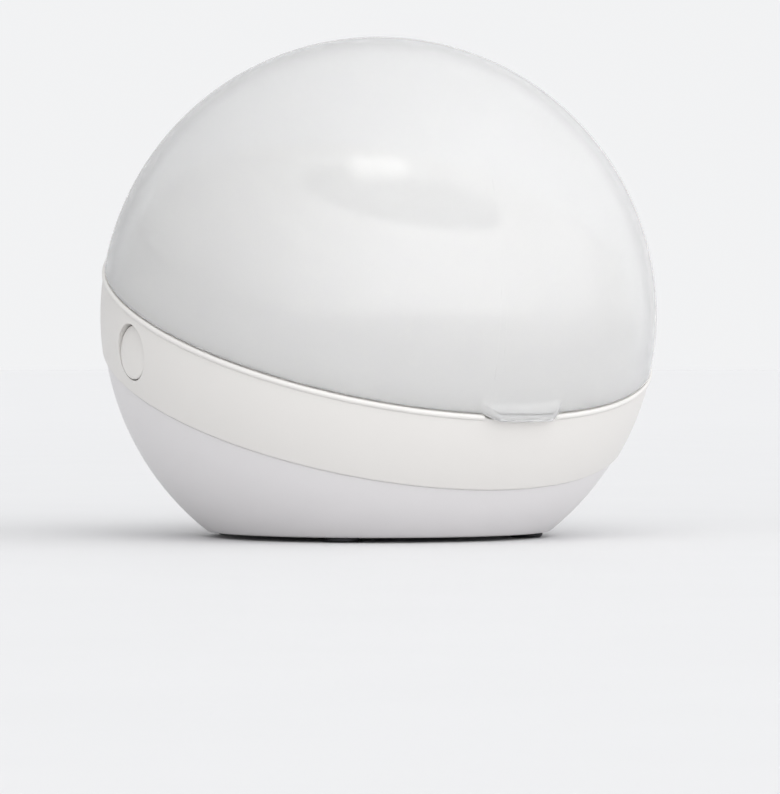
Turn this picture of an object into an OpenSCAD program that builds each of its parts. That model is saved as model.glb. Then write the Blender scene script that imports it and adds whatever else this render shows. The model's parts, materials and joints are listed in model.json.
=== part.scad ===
// Portable ultraviolet steriliser case for one soother, in millimetres.
// A ball cut flat at the foot. The lid and both base shells meet in planes square to one
// axis, which leans towards the front (-Y). +X is the right, +Z is up, and the origin is
// on the standing surface, under the ball's centre.

/* [Ball] */
// Diameter of the ball
ball_d = 90; // [89:0.5:94]
// Lean of the seams towards the front, in degrees
tilt = 20.6; // [19:0.2:21.6]
// From the ball's centre down to the flat of the foot
foot_drop = 35; // [34.6:0.1:35.4]
// Round of the foot's edge
foot_round = 1.5; // [0.8:0.1:2]
// Wall of the lid and of both base shells
wall = 2; // [1.8:0.1:2.2]
// Thickness of the foot's floor
floor_t = 2.6; // [2.4:0.1:2.8]

/* [Seams] */
// From the lid seam down to the seam between the base shells
band_h = 13.1; // [12.6:0.1:13.8]
// Gap between the lid and the band
lid_gap = 0.3; // [0.25:0.05:0.4]
// Gap between the two base shells
shell_gap = 0.1; // [0.05:0.05:0.2]
// How far the lower shell is set in from the ball
lower_inset = 0.4; // [0.2:0.1:0.6]
// Height of the bead along the band's top edge
bead_h = 0.9; // [0.7:0.1:1.2]
// How far the bead stands proud of the ball
bead_proud = 0.3; // [0.1:0.1:0.5]
// Height of the locating lip between the base shells
lip_h = 1.4; // [1:0.1:1.8]

/* [Lid] */
// Width of the lift tab
tab_w = 14.5; // [12:0.5:17]
// Reach of the lift tab from the ball
tab_reach = 1.8; // [1.5:0.1:2.2]
// How far the lift tab dips below the lid's rim
tab_dip = 0.8; // [0.6:0.1:1]
// Height of the lift tab above the lid's rim
tab_rise = 1.7; // [1.4:0.1:2]
// Round of the lift tab's ends
tab_round = 2.2; // [1.6:0.1:2.6]
// Width of the catch ridge inside the rim
ridge_w = 8; // [6:0.5:10]

/* [Hinge] */
// Radius of the hinge barrel
barrel_r = 2.3; // [2.1:0.1:2.4]
// Radius of the hinge pin
pin_r = 1; // [0.8:0.05:1.1]
// Width of the lid's knuckle
knuckle_w = 14; // [12:0.5:15]
// Width of each ear on the band
ear_w = 4.8; // [4:0.2:5.4]
// From the ball's surface out to the hinge axis
hinge_out = 0.2; // [0.1:0.05:0.3]

/* [Button] */
// Radius of the power button
button_r = 4.3; // [3.9:0.1:4.4]
// From the lid seam down to the button's centre
button_drop = 6.4; // [6.2:0.1:6.8]
// Travel of the power button
button_travel = 0.8; // [0.6:0.1:1]

/* [Chamber] */
// Radius of the central hole
hole_r = 16.5; // [15.9:0.1:16.8]
// Height of the tray's plateau above the lid seam
plateau_h = 20.7; // [19.5:0.1:21.5]
// Radius of the plateau
plateau_r = 24; // [23:0.1:25]
// Height of the raised ring on the plateau
ring_h = 0.8; // [0.5:0.1:1.2]
// Height of the collar above the lid seam
collar_h = 8.1; // [7.5:0.1:8.6]
// Wall of the tray
tray_t = 1.8; // [1.6:0.1:1.9]
// From the lid seam down to the tray's lower rim
tube_drop = 7.2; // [7:0.1:7.4]
// Width of the grooved catch pad on the collar
catch_w = 6.4; // [5.5:0.1:7.5]

/* [Lamp] */
// Radius of the lamp's glass tube
lamp_r = 1.8; // [1.5:0.1:1.8]
// Bend radius of the lamp's glass tube
lamp_bend = 4; // [3.6:0.1:4.2]
// Length of the lamp's straight legs
lamp_leg = 16.5; // [14:0.5:17]
// Thickness of the guard over the lamp
guard_t = 0.9; // [0.8:0.1:1.1]
// Width of the guard's slots
slot_w = 2.1; // [1.8:0.1:2.4]

/* [Board] */
// From the lid seam down to the board's top face
board_drop = 8; // [7.8:0.1:8.1]
// Thickness of the board
board_t = 1.2; // [1:0.1:1.4]
// Radius of the buzzer
buzzer_r = 4.5; // [4:0.1:5]

/* [Battery] */
// Diameter of one cell
cell_d = 10.5; // [10:0.1:10.5]
// Length of one cell with its nub
cell_l = 44.5; // [44:0.1:44.5]
// Wall of the battery bay
bay_t = 0.9; // [0.8:0.1:1]
// Thickness of the battery door's rim
door_t = 1.4; // [1.2:0.1:1.5]

/* [Feet and screws] */
// Radius of one foot pad
pad_r = 2.7; // [2.5:0.1:2.9]
// How far a foot pad stands below the foot
pad_proud = 0.8; // [0.6:0.1:1]
// Place of the foot pads and case screws, along X and along Y
post_xy = 17.2; // [17:0.1:17.5]
// Radius of a case screw's shank
screw_r = 1.1; // [0.9:0.05:1.15]
// Length of a case screw's shank
screw_l = 14; // [12:0.5:15]

/* [Hidden] */
$fn = 96;

// Clearances
slip = 0.02;      // a metal pin in a bore that holds it
turn = 0.05;      // a bore that turns on a pin
fit = 0.3;        // between bodies that pass each other
snug = 0.1;       // between faces of one body
over = 1;         // how far a cutter runs past a face

// Ball and foot
ball_r = ball_d / 2;
inner_r = ball_r - wall;
lower_r = ball_r - lower_inset;
lower_inner_r = lower_r - wall;
foot_z = pad_proud;
floor_z = foot_z + floor_t;
centre_z = foot_z + foot_drop;

// Height on the seam axis, and radius on a ball at that height
function at(r, w) = sqrt(r * r - w * w);
lower_top = -band_h - shell_gap;
lip_r = at(inner_r, band_h) + 0.05;

// Hinge, in the case frame: Y is up the slope towards the back, Z is the seam axis
hinge_v = ball_r + hinge_out;
hinge_w = lid_gap / 2;
relief_r = barrel_r + fit;
ear_in = knuckle_w / 2 + 0.2;
ear_out = ear_in + ear_w;

// Tray
collar_r = inner_r - 1.8;
flange_r = hinge_v - relief_r - 0.2;
flange_t = 1.4;
flange_top = -snug;
ledge_top = flange_top - flange_t;
ledge_t = 1.5;
ledge_in = collar_r - 0.6;
tube_r = hole_r + tray_t;
foot_of_mound = collar_h - 1.2;
seat_w = 1;

// Lid magnet, in the pocket above the knuckle
magnet_w = 5;
magnet_t = 1.4;
magnet_h = 3;
magnet_v = collar_r + 0.5;
magnet_low = barrel_r + 1.2;

// Cup and lamp
cup_t = 0.6;
cup_depth = 1.6;
cup_floor = -tube_drop - cup_depth;
lamp_w = cup_floor + 0.4 + lamp_r;
guard_seat = lamp_w + lamp_r + 0.3;
neck_r = lamp_r - 0.6;
neck_l = 1.5;
socket_x = -10.5;
socket_l = 3.5;
socket_w = 11.6;
socket_h = 3.7;
leads_v = 2.5;
lead_r = 0.5;
lead_bow = 0.9;

// Board
board_r = inner_r - 5;
board_in = tube_r + 0.7;
board_top = -board_drop;
board_low = board_top - board_t;
board_mid = (board_in + board_r) / 2;
// Chips, each with its angle round the board, its length, width and height
chips = [[205, 7, 6, 1.4], [155, 5, 4, 1.3], [73, 3.2, 3.2, 1.2], [335, 6, 3.5, 1.6]];
// Capacitors, each with its angle, radius and height
cans = [[27, 2.5, 7.5], [111, 2, 6]];
core_l = 11;
core_w = 9;
core_h = 8;
core_t = 1.4;
winding_r = 2.3;
buzzer_h = 4;

// Button, along X at the height of the seam axis
button_w = -button_drop;
button_gap = 0.2;
button_face = -at(ball_r, button_w) + 0.3;
button_dome_r = 30;
keeper_r = button_r + 1.1;
keeper_t = 0.9;
stem_r = 1.6;
stem_end = -board_r - 1;
keeper_x = -at(inner_r, button_w) + 0.5;
keeper_top = ledge_top - ledge_t - 0.2;
switch_l = 4;
switch_x = -board_r + 1;
plunger_r = 1.15;
plunger_in = 1.4;

// Sockets at the back
usb_w = 7.6;
usb_h = 2.8;
usb_l = 5.6;
usb_back = board_r - 2.5;
usb_mid = board_top + usb_h / 2;
port_w = 11;
port_h = 7;
reed_v = board_r - 1.5;
reed_w = usb_mid + usb_h / 2 + 1.5;
reed_r = 1.1;

// Battery bay, in the upright frame
cell_r = cell_d / 2;
cell_gap = 0.3;
door_gap = 0.3;
step_t = floor_t - door_t - 0.3;
cell_z = floor_z + 0.1 + cell_r;
cell_y = cell_r + cell_gap / 2;
cell_pitch = cell_d + cell_gap;
top_cell_z = cell_z + sqrt(cell_pitch * cell_pitch - cell_y * cell_y);
bay_r = cell_r + 0.3;
bay_x = cell_l / 2 + 1.65;
bay_out = bay_x + 1;
plate_t = 0.4;
spring_l = 2 * bay_x - cell_l - 2 * plate_t - 0.3;
wire_r = 0.3;
spring_turns = 2.5;
nub_r = 1.9;
nub_l = 1;

// Battery door: a plate with two screw lobes
hatch_x = cell_l / 2 + 1.05;
hatch_y = cell_y + cell_r + 0.15;
hatch_round = 3;
rim_x = hatch_x + 1.5;
rim_y = hatch_y + 1.2;
rim_round = 4.5;
lobe_y = cell_y + bay_r + bay_t + 2.95;
lobe_r = 3;
door_head_r = 1.9;
door_head_t = 0.8;
door_shank_r = 0.9;
door_shank_l = 5.5;
door_post_r = 2.5;

// Case screws and their posts
posts = [[-1, -1], [1, -1], [1, 1], [-1, 1]] * post_xy;
post_r = 3.3;
boss_r = 2.8;
head_r = 2.1;
head_t = 1.6;
pad_sink = 0.6;

ivory = [0.93, 0.92, 0.89];
cool_white = [0.84, 0.84, 0.87];

// Everything between the seams is modelled on the seam axis
module case_frame() {
    translate([0, 0, centre_z]) rotate([tilt, 0, 0]) children();
}

// A slab of the case frame between two heights on the seam axis
module slab(low, high) {
    translate([-ball_d, -ball_d, low]) cube([2 * ball_d, 2 * ball_d, high - low]);
}

// A box given by its corners
module block(from, to) {
    translate(from) cube(to - from);
}

// A rod along X from one place to another
module rod_x(r, x0, x1, y = 0, z = 0) {
    translate([x0, y, z]) rotate([0, 90, 0]) cylinder(r = r, h = x1 - x0);
}

// Points of an arc
function arc(cx, cy, r, from, to, steps = 6) =
    [for (i = [0:steps]) let (a = from + (to - from) * i / steps) [cx + r * cos(a), cy + r * sin(a)]];

// Outline of a rectangle with round corners, by its half sizes
function round_box(x, y, r) = concat(
    arc(x - r, y - r, r, 0, 90), arc(r - x, y - r, r, 90, 180),
    arc(r - x, r - y, r, 180, 270), arc(x - r, r - y, r, 270, 360));

module round_plate(x, y, r, z0, z1) {
    translate([0, 0, z0]) linear_extrude(z1 - z0) polygon(round_box(x, y, r));
}

// A ball zone with a wall, between two heights
module zone_wall(r, low, high) {
    intersection() {
        difference() {
            sphere(r = r);
            sphere(r = r - wall);
        }
        slab(low, high);
    }
}

// Where the vertical line at y meets the height w of the seam axis
function level(y, w) = centre_z + y * tan(tilt) + w / cos(tilt);

// ---------------------------------------------------------------- base shells

// The lower ball, cut flat and rounded at the foot
module foot_body(r, drop, round) {
    mid_r = sqrt(pow(r - round, 2) - pow(drop - round, 2));
    lean = atan2(drop - round, mid_r);
    edge = arc(mid_r, round - drop, round, -90, -lean);
    intersection() {
        sphere(r = r);
        rotate_extrude() polygon(concat([[0, r], [0, -drop]], edge, [[r + 1, round - drop], [r + 1, r]]));
    }
}

module door_outline(x, y, round, lobe, grow) {
    polygon(round_box(x + grow, y + grow, round + grow));
    for (s = [-1, 1]) {
        translate([0, s * lobe_y]) circle(r = lobe + grow);
        translate([0, s * lobe_y / 2]) square([2 * (lobe + grow), lobe_y], center = true);
    }
}

module lower_shell() {
    color(cool_white) difference() {
        union() {
            difference() {
                translate([0, 0, centre_z]) foot_body(lower_r, foot_drop, foot_round);
                intersection() {
                    translate([0, 0, centre_z]) sphere(r = lower_inner_r);
                    slab(floor_z, 2 * ball_d);
                }
                case_frame() slab(lower_top, ball_d);
            }
            // Locating lip inside the band
            case_frame() difference() {
                translate([0, 0, lower_top - 2.2]) cylinder(r = lip_r, h = lip_h + 2.2);
                translate([0, 0, lower_top - 2.2 - over])
                    cylinder(r = lip_r - 1.4, h = lip_h + 2.2 + 2 * over);
            }
            // Posts for the case screws, cut to the slope of the board
            intersection() {
                for (p = posts) translate([p[0], p[1], foot_z + 1]) cylinder(r = post_r, h = ball_r);
                case_frame() slab(-ball_d, board_low);
            }
            // Posts for the battery door's screws
            for (s = [-1, 1]) translate([0, s * lobe_y, floor_z - 0.5])
                cylinder(r = door_post_r, h = door_shank_l + 1);
        }
        for (p = posts) translate([p[0], p[1], 0]) {
            translate([0, 0, -over]) cylinder(r = pad_r + 0.05, h = foot_z + pad_sink + over);
            cylinder(r = head_r + 0.2, h = screw_seat(p[1]));
            cylinder(r = screw_r + 0.15, h = ball_r);
        }
        // Battery hatch with its ledge
        translate([0, 0, foot_z - over]) linear_extrude(door_t + 0.1 + over)
            door_outline(rim_x, rim_y, rim_round, lobe_r, 0.25);
        round_plate(hatch_x, hatch_y, hatch_round, foot_z, floor_z + over);
        for (s = [-1, 1]) translate([0, s * lobe_y, foot_z])
            cylinder(r = door_shank_r + slip, h = door_t + door_shank_l);
    }
}

// Height of the seat of a case screw's head
function screw_seat(y) = level(y, board_low) - screw_l / 2;

// Gusset and barrel of one hinge ear, along X
module ear() {
    rod_x(barrel_r, 0, ear_w, hinge_v, hinge_w);
    rotate([90, 0, 90]) linear_extrude(ear_w) polygon([
        [hinge_v - barrel_r * 0.9, hinge_w], [inner_r - 0.8, hinge_w - 7],
        [hinge_v + barrel_r * 0.8, hinge_w - barrel_r * 0.5]]);
}

// Ball zone with the bead on its top edge, the ledge that carries the tray, and a step for the lip
function band_profile() = concat(
    arc(0, 0, ball_r, -asin(band_h / ball_r), -asin(bead_h / ball_r), 10),
    [[ball_r + bead_proud * 0.7, -bead_h * 0.8], [ball_r + bead_proud, -bead_h * 0.5],
     [ball_r + bead_proud * 0.8, -bead_h * 0.15], [ball_r + bead_proud * 0.4, 0],
     [inner_r, 0], [inner_r - 0.02, ledge_top], [ledge_in, ledge_top], [ledge_in, ledge_top - ledge_t * 0.6]],
    arc(0, 0, inner_r, asin((ledge_top - ledge_t - 0.8) / inner_r), -acos((lip_r + 0.2) / inner_r), 8),
    [[lip_r + 0.2, -band_h]]);

module band_ring() {
    color(ivory) case_frame() difference() {
        union() {
            rotate_extrude() polygon(band_profile());
            for (x = [ear_in, -ear_out]) translate([x, 0, 0]) ear();
        }
        // Room for the lid's knuckle and the ears' pin
        rod_x(relief_r, -ear_in, ear_in, hinge_v, hinge_w);
        rod_x(pin_r + slip, -ear_out - over, ear_out + over, hinge_v, hinge_w);
        // Notch under the lid's tab
        tab_space(fit);
        // Button hole, and a flat behind it for the keeper
        rod_x(button_r + button_gap, -ball_d, keeper_x + 1.3, 0, button_w);
        intersection() {
            rod_x(keeper_r + 0.3, keeper_x - 0.3, 0, 0, button_w);
            slab(-ball_d, keeper_top + 0.15);
        }
        // Window for the mains plug
        translate([0, 0, usb_mid]) rotate([-90, 0, 0])
            round_plate(port_w / 2, port_h / 2, 2, usb_back, ball_d);
    }
}

// ---------------------------------------------------------------- chamber

// Outline of the mound: a quarter ellipse from the collar up to the plateau
function mound(r0, w0, r1, w1, steps = 14) =
    [for (i = [0:steps]) let (a = 90 * i / steps) [r1 + (r0 - r1) * cos(a), w0 + (w1 - w0) * sin(a)]];

module chamber_tray() {
    collar_in = collar_r - tray_t;
    top_in = collar_r - 1;
    skin = concat(
        [[collar_in, ledge_top], [flange_r, ledge_top], [flange_r, flange_top], [collar_r, flange_top],
         [collar_r, collar_h - 0.5], [collar_r - 0.2, collar_h - 0.15], [collar_r - 0.5, collar_h],
         [top_in + 0.2, collar_h], [top_in, collar_h - 0.2], [top_in, foot_of_mound]],
        mound(top_in - 0.4, foot_of_mound, plateau_r, plateau_h),
        [[plateau_r - 0.1, plateau_h + ring_h * 0.7], [plateau_r - 0.4, plateau_h + ring_h],
         [plateau_r - 1.2, plateau_h + ring_h], [plateau_r - 1.6, plateau_h + ring_h * 0.7],
         [plateau_r - 1.7, plateau_h]],
        arc(hole_r + 1.2, plateau_h - 1.2, 1.2, 90, 180),
        [[hole_r, guard_seat], [hole_r - seat_w, guard_seat], [hole_r - seat_w, guard_seat - 0.5],
         [hole_r, guard_seat - 1.2], [hole_r, -tube_drop], [tube_r, -tube_drop],
         [tube_r, plateau_h - tray_t]]);
    under = mound(collar_in - 0.4, foot_of_mound - tray_t, plateau_r, plateau_h - tray_t);
    core = concat([[tube_r - 0.5, -ball_r]], [[tube_r - 0.5, plateau_h - tray_t / 2]],
        [for (i = [len(under) - 1:-1:0]) under[i] + [0, tray_t / 3]], [[collar_in - 0.4, -ball_r]]);
    color([0.95, 0.95, 0.93]) difference() {
        union() {
            case_frame() {
                rotate_extrude() polygon(concat(
                    skin, [for (i = [len(under) - 1:-1:0]) under[i]], [[collar_in, foot_of_mound - tray_t]]));
                catch_pad();
            }
            // Bosses for the case screws, under the mound
            intersection() {
                for (p = posts) translate([p[0], p[1], 0]) cylinder(r = boss_r, h = ball_d);
                case_frame() intersection() {
                    rotate_extrude() polygon(core);
                    slab(board_top, ball_d);
                }
            }
        }
        for (p = posts) translate([p[0], p[1], 0])
            cylinder(r = screw_r + slip, h = screw_seat(p[1]) + screw_l + 1);
    }
}

// Grooved pad in the front of the collar
module catch_pad() {
    low = 2.5;
    step = 1.1;
    proud = 0.55;
    intersection() {
        rotate_extrude() polygon(concat([[collar_r - 0.5, low]],
            [for (i = [0:2]) each [
                [collar_r + proud, low + i * step], [collar_r + proud, low + i * step + 0.75],
                [collar_r + proud - 0.3, low + i * step + 0.85],
                [collar_r + proud - 0.3, low + (i + 1) * step - 0.1]]],
            [[collar_r - 0.5, low + 3 * step - 0.1]]));
        block([-catch_w / 2, -ball_r, 0], [catch_w / 2, 0, ball_r]);
    }
}

module lamp_guard() {
    pitch = slot_w + 1.6;
    rim = 2;
    color([0.9, 0.91, 0.93]) case_frame() difference() {
        translate([0, 0, guard_seat]) cylinder(r = hole_r - 0.2, h = guard_t);
        intersection() {
            translate([0, 0, guard_seat - over]) cylinder(r = hole_r - rim, h = guard_t + 2 * over);
            for (i = [-3:3]) translate([-hole_r, i * pitch - slot_w / 2, guard_seat - over])
                cube([2 * hole_r, slot_w, guard_t + 2 * over]);
        }
    }
}

module reflector_cup() {
    bend = 1.1;
    color([0.8, 0.81, 0.83]) case_frame() difference() {
        rotate_extrude() polygon(concat(
            [[tube_r - 0.1, -tube_drop], [hole_r, -tube_drop]],
            arc(hole_r - bend, cup_floor + bend, bend, 0, -90),
            [[0, cup_floor], [0, cup_floor - cup_t]],
            arc(hole_r - bend, cup_floor + bend, bend + cup_t, -90, 0),
            [[hole_r + cup_t, -tube_drop - cup_t], [tube_r - 0.1, -tube_drop - cup_t]]));
        for (s = [-1, 1]) translate([socket_x - socket_l / 2, s * leads_v, cup_floor - 2])
            cylinder(r = lead_r + 0.2, h = 4);
    }
}

module uv_lamp() {
    color([0.82, 0.84, 0.95]) case_frame() translate([socket_x, 0, lamp_w]) {
        for (y = [-lamp_bend, lamp_bend]) {
            rod_x(lamp_r, 0, lamp_leg, y);
            rod_x(neck_r, -neck_l, 1, y);
        }
        translate([lamp_leg, 0, 0]) rotate([0, 0, -90])
            rotate_extrude(angle = 180) translate([lamp_bend, 0]) circle(r = lamp_r);
    }
}

// Ceramic block with a bore for each neck of the lamp
module lamp_socket() {
    color([0.93, 0.92, 0.88]) case_frame() difference() {
        block([socket_x - socket_l, -socket_w / 2, cup_floor + snug],
            [socket_x, socket_w / 2, cup_floor + snug + socket_h]);
        for (y = [-lamp_bend, lamp_bend])
            rod_x(neck_r + turn, socket_x - neck_l - snug, socket_x + over, y, lamp_w);
    }
}

// One insulated wire through a list of points
module wire(points) {
    for (i = [0:len(points) - 2]) {
        d = points[i + 1] - points[i];
        translate(points[i]) rotate([0, acos(d[2] / norm(d)), atan2(d[1], d[0])])
            cylinder(r = lead_r, h = norm(d));
        if (i > 0) translate(points[i]) sphere(r = lead_r);
    }
}

module inner_leads() {
    under = cup_floor - cup_t - lead_bow + snug;
    mid = socket_x - socket_l / 2;
    rise = -board_in - 3 * lead_r;
    y = 6 * lead_r;
    color([0.75, 0.2, 0.15]) {
        case_frame() for (s = [-1, 1]) wire([
            [mid, s * leads_v, cup_floor + snug], [mid, s * leads_v, under],
            [rise, s * leads_v, under], [rise, s * leads_v, board_low]]);
        for (s = [-1, 1]) wire([
            [s * bay_out, y, top_cell_z], [s * (bay_out + lead_bow), y, top_cell_z],
            [s * (bay_out + lead_bow), y, level(y, board_low) - lead_r]]);
    }
}

// ---------------------------------------------------------------- board

module control_board() {
    color([0.12, 0.42, 0.25]) difference() {
        case_frame() translate([0, 0, board_low]) difference() {
            cylinder(r = board_r, h = board_t);
            translate([0, 0, -over]) cylinder(r = board_in, h = board_t + 2 * over);
        }
        for (p = posts) translate([p[0], p[1], 0]) cylinder(r = screw_r + 0.2, h = ball_r);
    }
}

// A place on the board's top face, by its angle
function spot(angle) = [board_mid * cos(angle), board_mid * sin(angle), board_top];

module board_chips() {
    color([0.13, 0.13, 0.14]) case_frame() {
        for (c = chips) translate(spot(c[0])) block([-c[1] / 2, -c[2] / 2, 0], [c[1] / 2, c[2] / 2, c[3]]);
        for (c = cans) translate(spot(c[0])) cylinder(r = c[1], h = c[2]);
    }
}

// Ferrite core with its winding
module lamp_transformer() {
    inside = core_l / 2 - core_t;
    color([0.75, 0.62, 0.2]) case_frame() translate(spot(0)) {
        difference() {
            block([-core_w / 2, -core_l / 2, 0], [core_w / 2, core_l / 2, core_h]);
            block([-core_w, -inside, core_t], [core_w, inside, core_h - core_t]);
        }
        translate([0, 0, core_h / 2]) rotate([90, 0, 0]) {
            cylinder(r = winding_r * 0.6, h = 2 * inside + core_t, center = true);
            cylinder(r = winding_r, h = 2 * inside - 0.8, center = true);
        }
    }
}

module tact_switch() {
    color([0.16, 0.16, 0.17]) case_frame() difference() {
        union() {
            block([switch_x, -3, board_top], [switch_x + switch_l, 3, button_w + 1.8]);
            rod_x(1.5, switch_x - 0.5, switch_x, 0, button_w);
        }
        rod_x(plunger_r + turn, switch_x - over, switch_x + plunger_in + button_travel + 0.3, 0, button_w);
    }
}

module indicator_led() {
    v = -8;
    x = -at(board_r, v) + 2.5;
    w = board_top + 1.5;
    color([0.5, 0.8, 0.95]) case_frame() {
        block([x - 1, v - 1.5, board_top], [x + 1, v + 1.5, w]);
        rod_x(1.5, x - 2, x + 1, v, w);
        translate([x - 2, v, w]) sphere(r = 1.5);
    }
}

module buzzer() {
    bevel = 0.4;
    color([0.1, 0.1, 0.11]) case_frame() translate(spot(-90)) difference() {
        rotate_extrude() polygon([
            [0, 0], [buzzer_r, 0], [buzzer_r, buzzer_h - bevel],
            [buzzer_r - bevel, buzzer_h], [0, buzzer_h]]);
        translate([0, 0, buzzer_h - 1]) cylinder(r = buzzer_r / 4, h = 2);
    }
}

// Glass tube on two bent legs
module reed_switch() {
    leg = 6.5;
    color([0.6, 0.75, 0.7]) case_frame() {
        rod_x(reed_r, 1 - leg, leg - 1, reed_v, reed_w);
        rod_x(0.3, -leg, leg, reed_v, reed_w);
        for (s = [-1, 1]) translate([s * leg, reed_v, board_top])
            cylinder(r = 0.3, h = reed_w - board_top + 0.3);
    }
}

module usb_socket() {
    color([0.7, 0.71, 0.73]) case_frame() translate([0, usb_back, usb_mid]) rotate([-90, 0, 0]) {
        difference() {
            round_plate(usb_w / 2, usb_h / 2, 0.8, 0, usb_l);
            round_plate(usb_w / 2 - 0.35, usb_h / 2 - 0.35, 0.5, 1, usb_l + over);
        }
        block([-2, -0.3, 0.5], [2, 0.3, usb_l - 1]);
    }
}

// ---------------------------------------------------------------- battery

// The space of three stacked cells, grown by a margin, from the floor up
module cell_space(r, x) {
    for (s = [-1, 1]) rod_x(r, -x, x, s * cell_y, cell_z);
    rod_x(r, -x, x, 0, top_cell_z);
    rotate([90, 0, 90]) translate([0, 0, -x]) linear_extrude(2 * x)
        polygon([[-cell_y, cell_z], [cell_y, cell_z], [0, top_cell_z]]);
    block([-x, -cell_y - r, floor_z], [x, cell_y + r, cell_z]);
}

module battery_bay() {
    color([0.9, 0.9, 0.88]) difference() {
        intersection() {
            cell_space(bay_r + bay_t, bay_out);
            translate([0, 0, centre_z]) sphere(r = lower_inner_r - snug);
            slab(floor_z, 2 * ball_d);
        }
        cell_space(bay_r, bay_x);
        block([-bay_x, -cell_y - bay_r, 0], [bay_x, cell_y + bay_r, floor_z + over]);
    }
}

// Each cell: which way its nub points, and where it lies
cells = [[1, -cell_y, cell_z], [-1, cell_y, cell_z], [1, 0, top_cell_z]];

module battery_cells() {
    color([0.35, 0.38, 0.42]) for (c = cells) translate([0, c[1], c[2]]) mirror([c[0] > 0 ? 0 : 1, 0, 0])
        translate([bay_x - plate_t - 0.1 - cell_l, 0, 0]) rotate([0, 90, 0]) rotate_extrude() polygon([
            [0, 0], [cell_r - 0.6, 0], [cell_r, 0.5], [cell_r, cell_l - nub_l - 0.5],
            [cell_r - 0.6, cell_l - nub_l], [nub_r, cell_l - nub_l], [nub_r, cell_l - 0.2],
            [nub_r - 0.2, cell_l], [0, cell_l]]);
}

module contact_plates() {
    half = cell_r - 1.5;
    color([0.8, 0.78, 0.7]) for (c = cells, x = [-bay_x, bay_x - plate_t]) translate([x, c[1], c[2]])
        block([0, -half, -half], [plate_t, half, half]);
}

// A conical coil as one unbroken tube: its ring i has its centre on the cone's helix
module coil(r0, r1, h, turns, wire, steps = 12, sides = 6) {
    n = round(turns * steps);
    function mid(i) = let (a = 360 * i / steps, r = r0 + (r1 - r0) * i / n)
        [r * cos(a), r * sin(a), wire + (h - 2 * wire) * i / n];
    points = [for (i = [0:n], k = [0:sides - 1]) let (a = 360 * i / steps, b = 360 * k / sides)
        mid(i) + wire * [cos(b) * cos(a), cos(b) * sin(a), sin(b)]];
    walls = [for (i = [0:n - 1], k = [0:sides - 1]) let (j = (k + 1) % sides, p = i * sides, q = p + sides)
        each [[p + k, p + j, q + k], [p + j, q + j, q + k]]];
    caps = [for (k = [1:sides - 2]) each [[0, k + 1, k], [n * sides, n * sides + k, n * sides + k + 1]]];
    polyhedron(points, concat(walls, caps));
}

module contact_springs() {
    color([0.75, 0.75, 0.78]) for (c = cells) translate([0, c[1], c[2]]) mirror([c[0] > 0 ? 0 : 1, 0, 0])
        translate([plate_t - bay_x + 0.05, 0, 0]) rotate([0, 90, 0])
            coil(cell_r - 1.7, 2, spring_l, spring_turns, wire_r);
}

module battery_door() {
    groove_l = 10;
    groove_w = 1;
    groove_t = 0.4;
    groove_pitch = 2.4;
    color([0.8, 0.8, 0.83]) difference() {
        union() {
            translate([0, 0, foot_z]) linear_extrude(door_t)
                door_outline(rim_x, rim_y, rim_round, lobe_r, 0);
            round_plate(hatch_x - door_gap, hatch_y - door_gap, hatch_round - door_gap,
                foot_z + 0.5, foot_z + door_t + step_t);
        }
        for (s = [-1, 1]) translate([0, s * lobe_y, foot_z - over]) {
            cylinder(r = door_head_r + 0.1, h = door_head_t + over);
            cylinder(r = door_shank_r + 0.15, h = door_t + 2 * over);
        }
        // Finger grooves across the plate
        for (i = [-2:2]) translate([i * groove_pitch - groove_w / 2, -groove_l / 2, foot_z - over])
            cube([groove_w, groove_l, over + groove_t]);
    }
}

module door_screws() {
    color([0.6, 0.6, 0.62]) for (s = [-1, 1]) translate([0, s * lobe_y, foot_z]) difference() {
        rotate_extrude() polygon([
            [0, 0.1], [door_head_r - 0.3, 0.1], [door_head_r, 0.35], [door_head_r, door_head_t],
            [door_shank_r, door_head_t], [door_shank_r, door_shank_l],
            [door_shank_r - 0.5, door_shank_l + 0.8], [0, door_shank_l + 0.8]]);
        for (a = [0, 90]) rotate([0, 0, a]) block([-1.2, -0.2, -over], [1.2, 0.2, 0.6]);
    }
}

// ---------------------------------------------------------------- feet and screws

module case_screws() {
    color([0.6, 0.6, 0.62]) for (p = posts) translate([p[0], p[1], screw_seat(p[1])]) difference() {
        rotate_extrude() polygon([
            [0, -head_t], [head_r - 0.5, -head_t], [head_r, -head_t + 0.5], [head_r, 0], [screw_r, 0],
            [screw_r, screw_l - 1], [screw_r - 0.6, screw_l], [0, screw_l]]);
        for (a = [0, 90]) rotate([0, 0, a]) block([-1.3, -0.25, -head_t - over], [1.3, 0.25, 0.8 - head_t]);
    }
}

module foot_pads() {
    color([0.17, 0.17, 0.18]) for (p = posts) translate([p[0], p[1], 0]) rotate_extrude() polygon([
        [0, 0], [pad_r - 0.6, 0], [pad_r - 0.2, 0.15], [pad_r, 0.5], [pad_r, pad_proud + pad_sink - 0.02],
        [0, pad_proud + pad_sink - 0.02]]);
}

module hinge_pin() {
    color([0.72, 0.73, 0.75]) case_frame() rod_x(pin_r, -ear_out + 0.1, ear_out - 0.1, hinge_v, hinge_w);
}

// ---------------------------------------------------------------- lid

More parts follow.
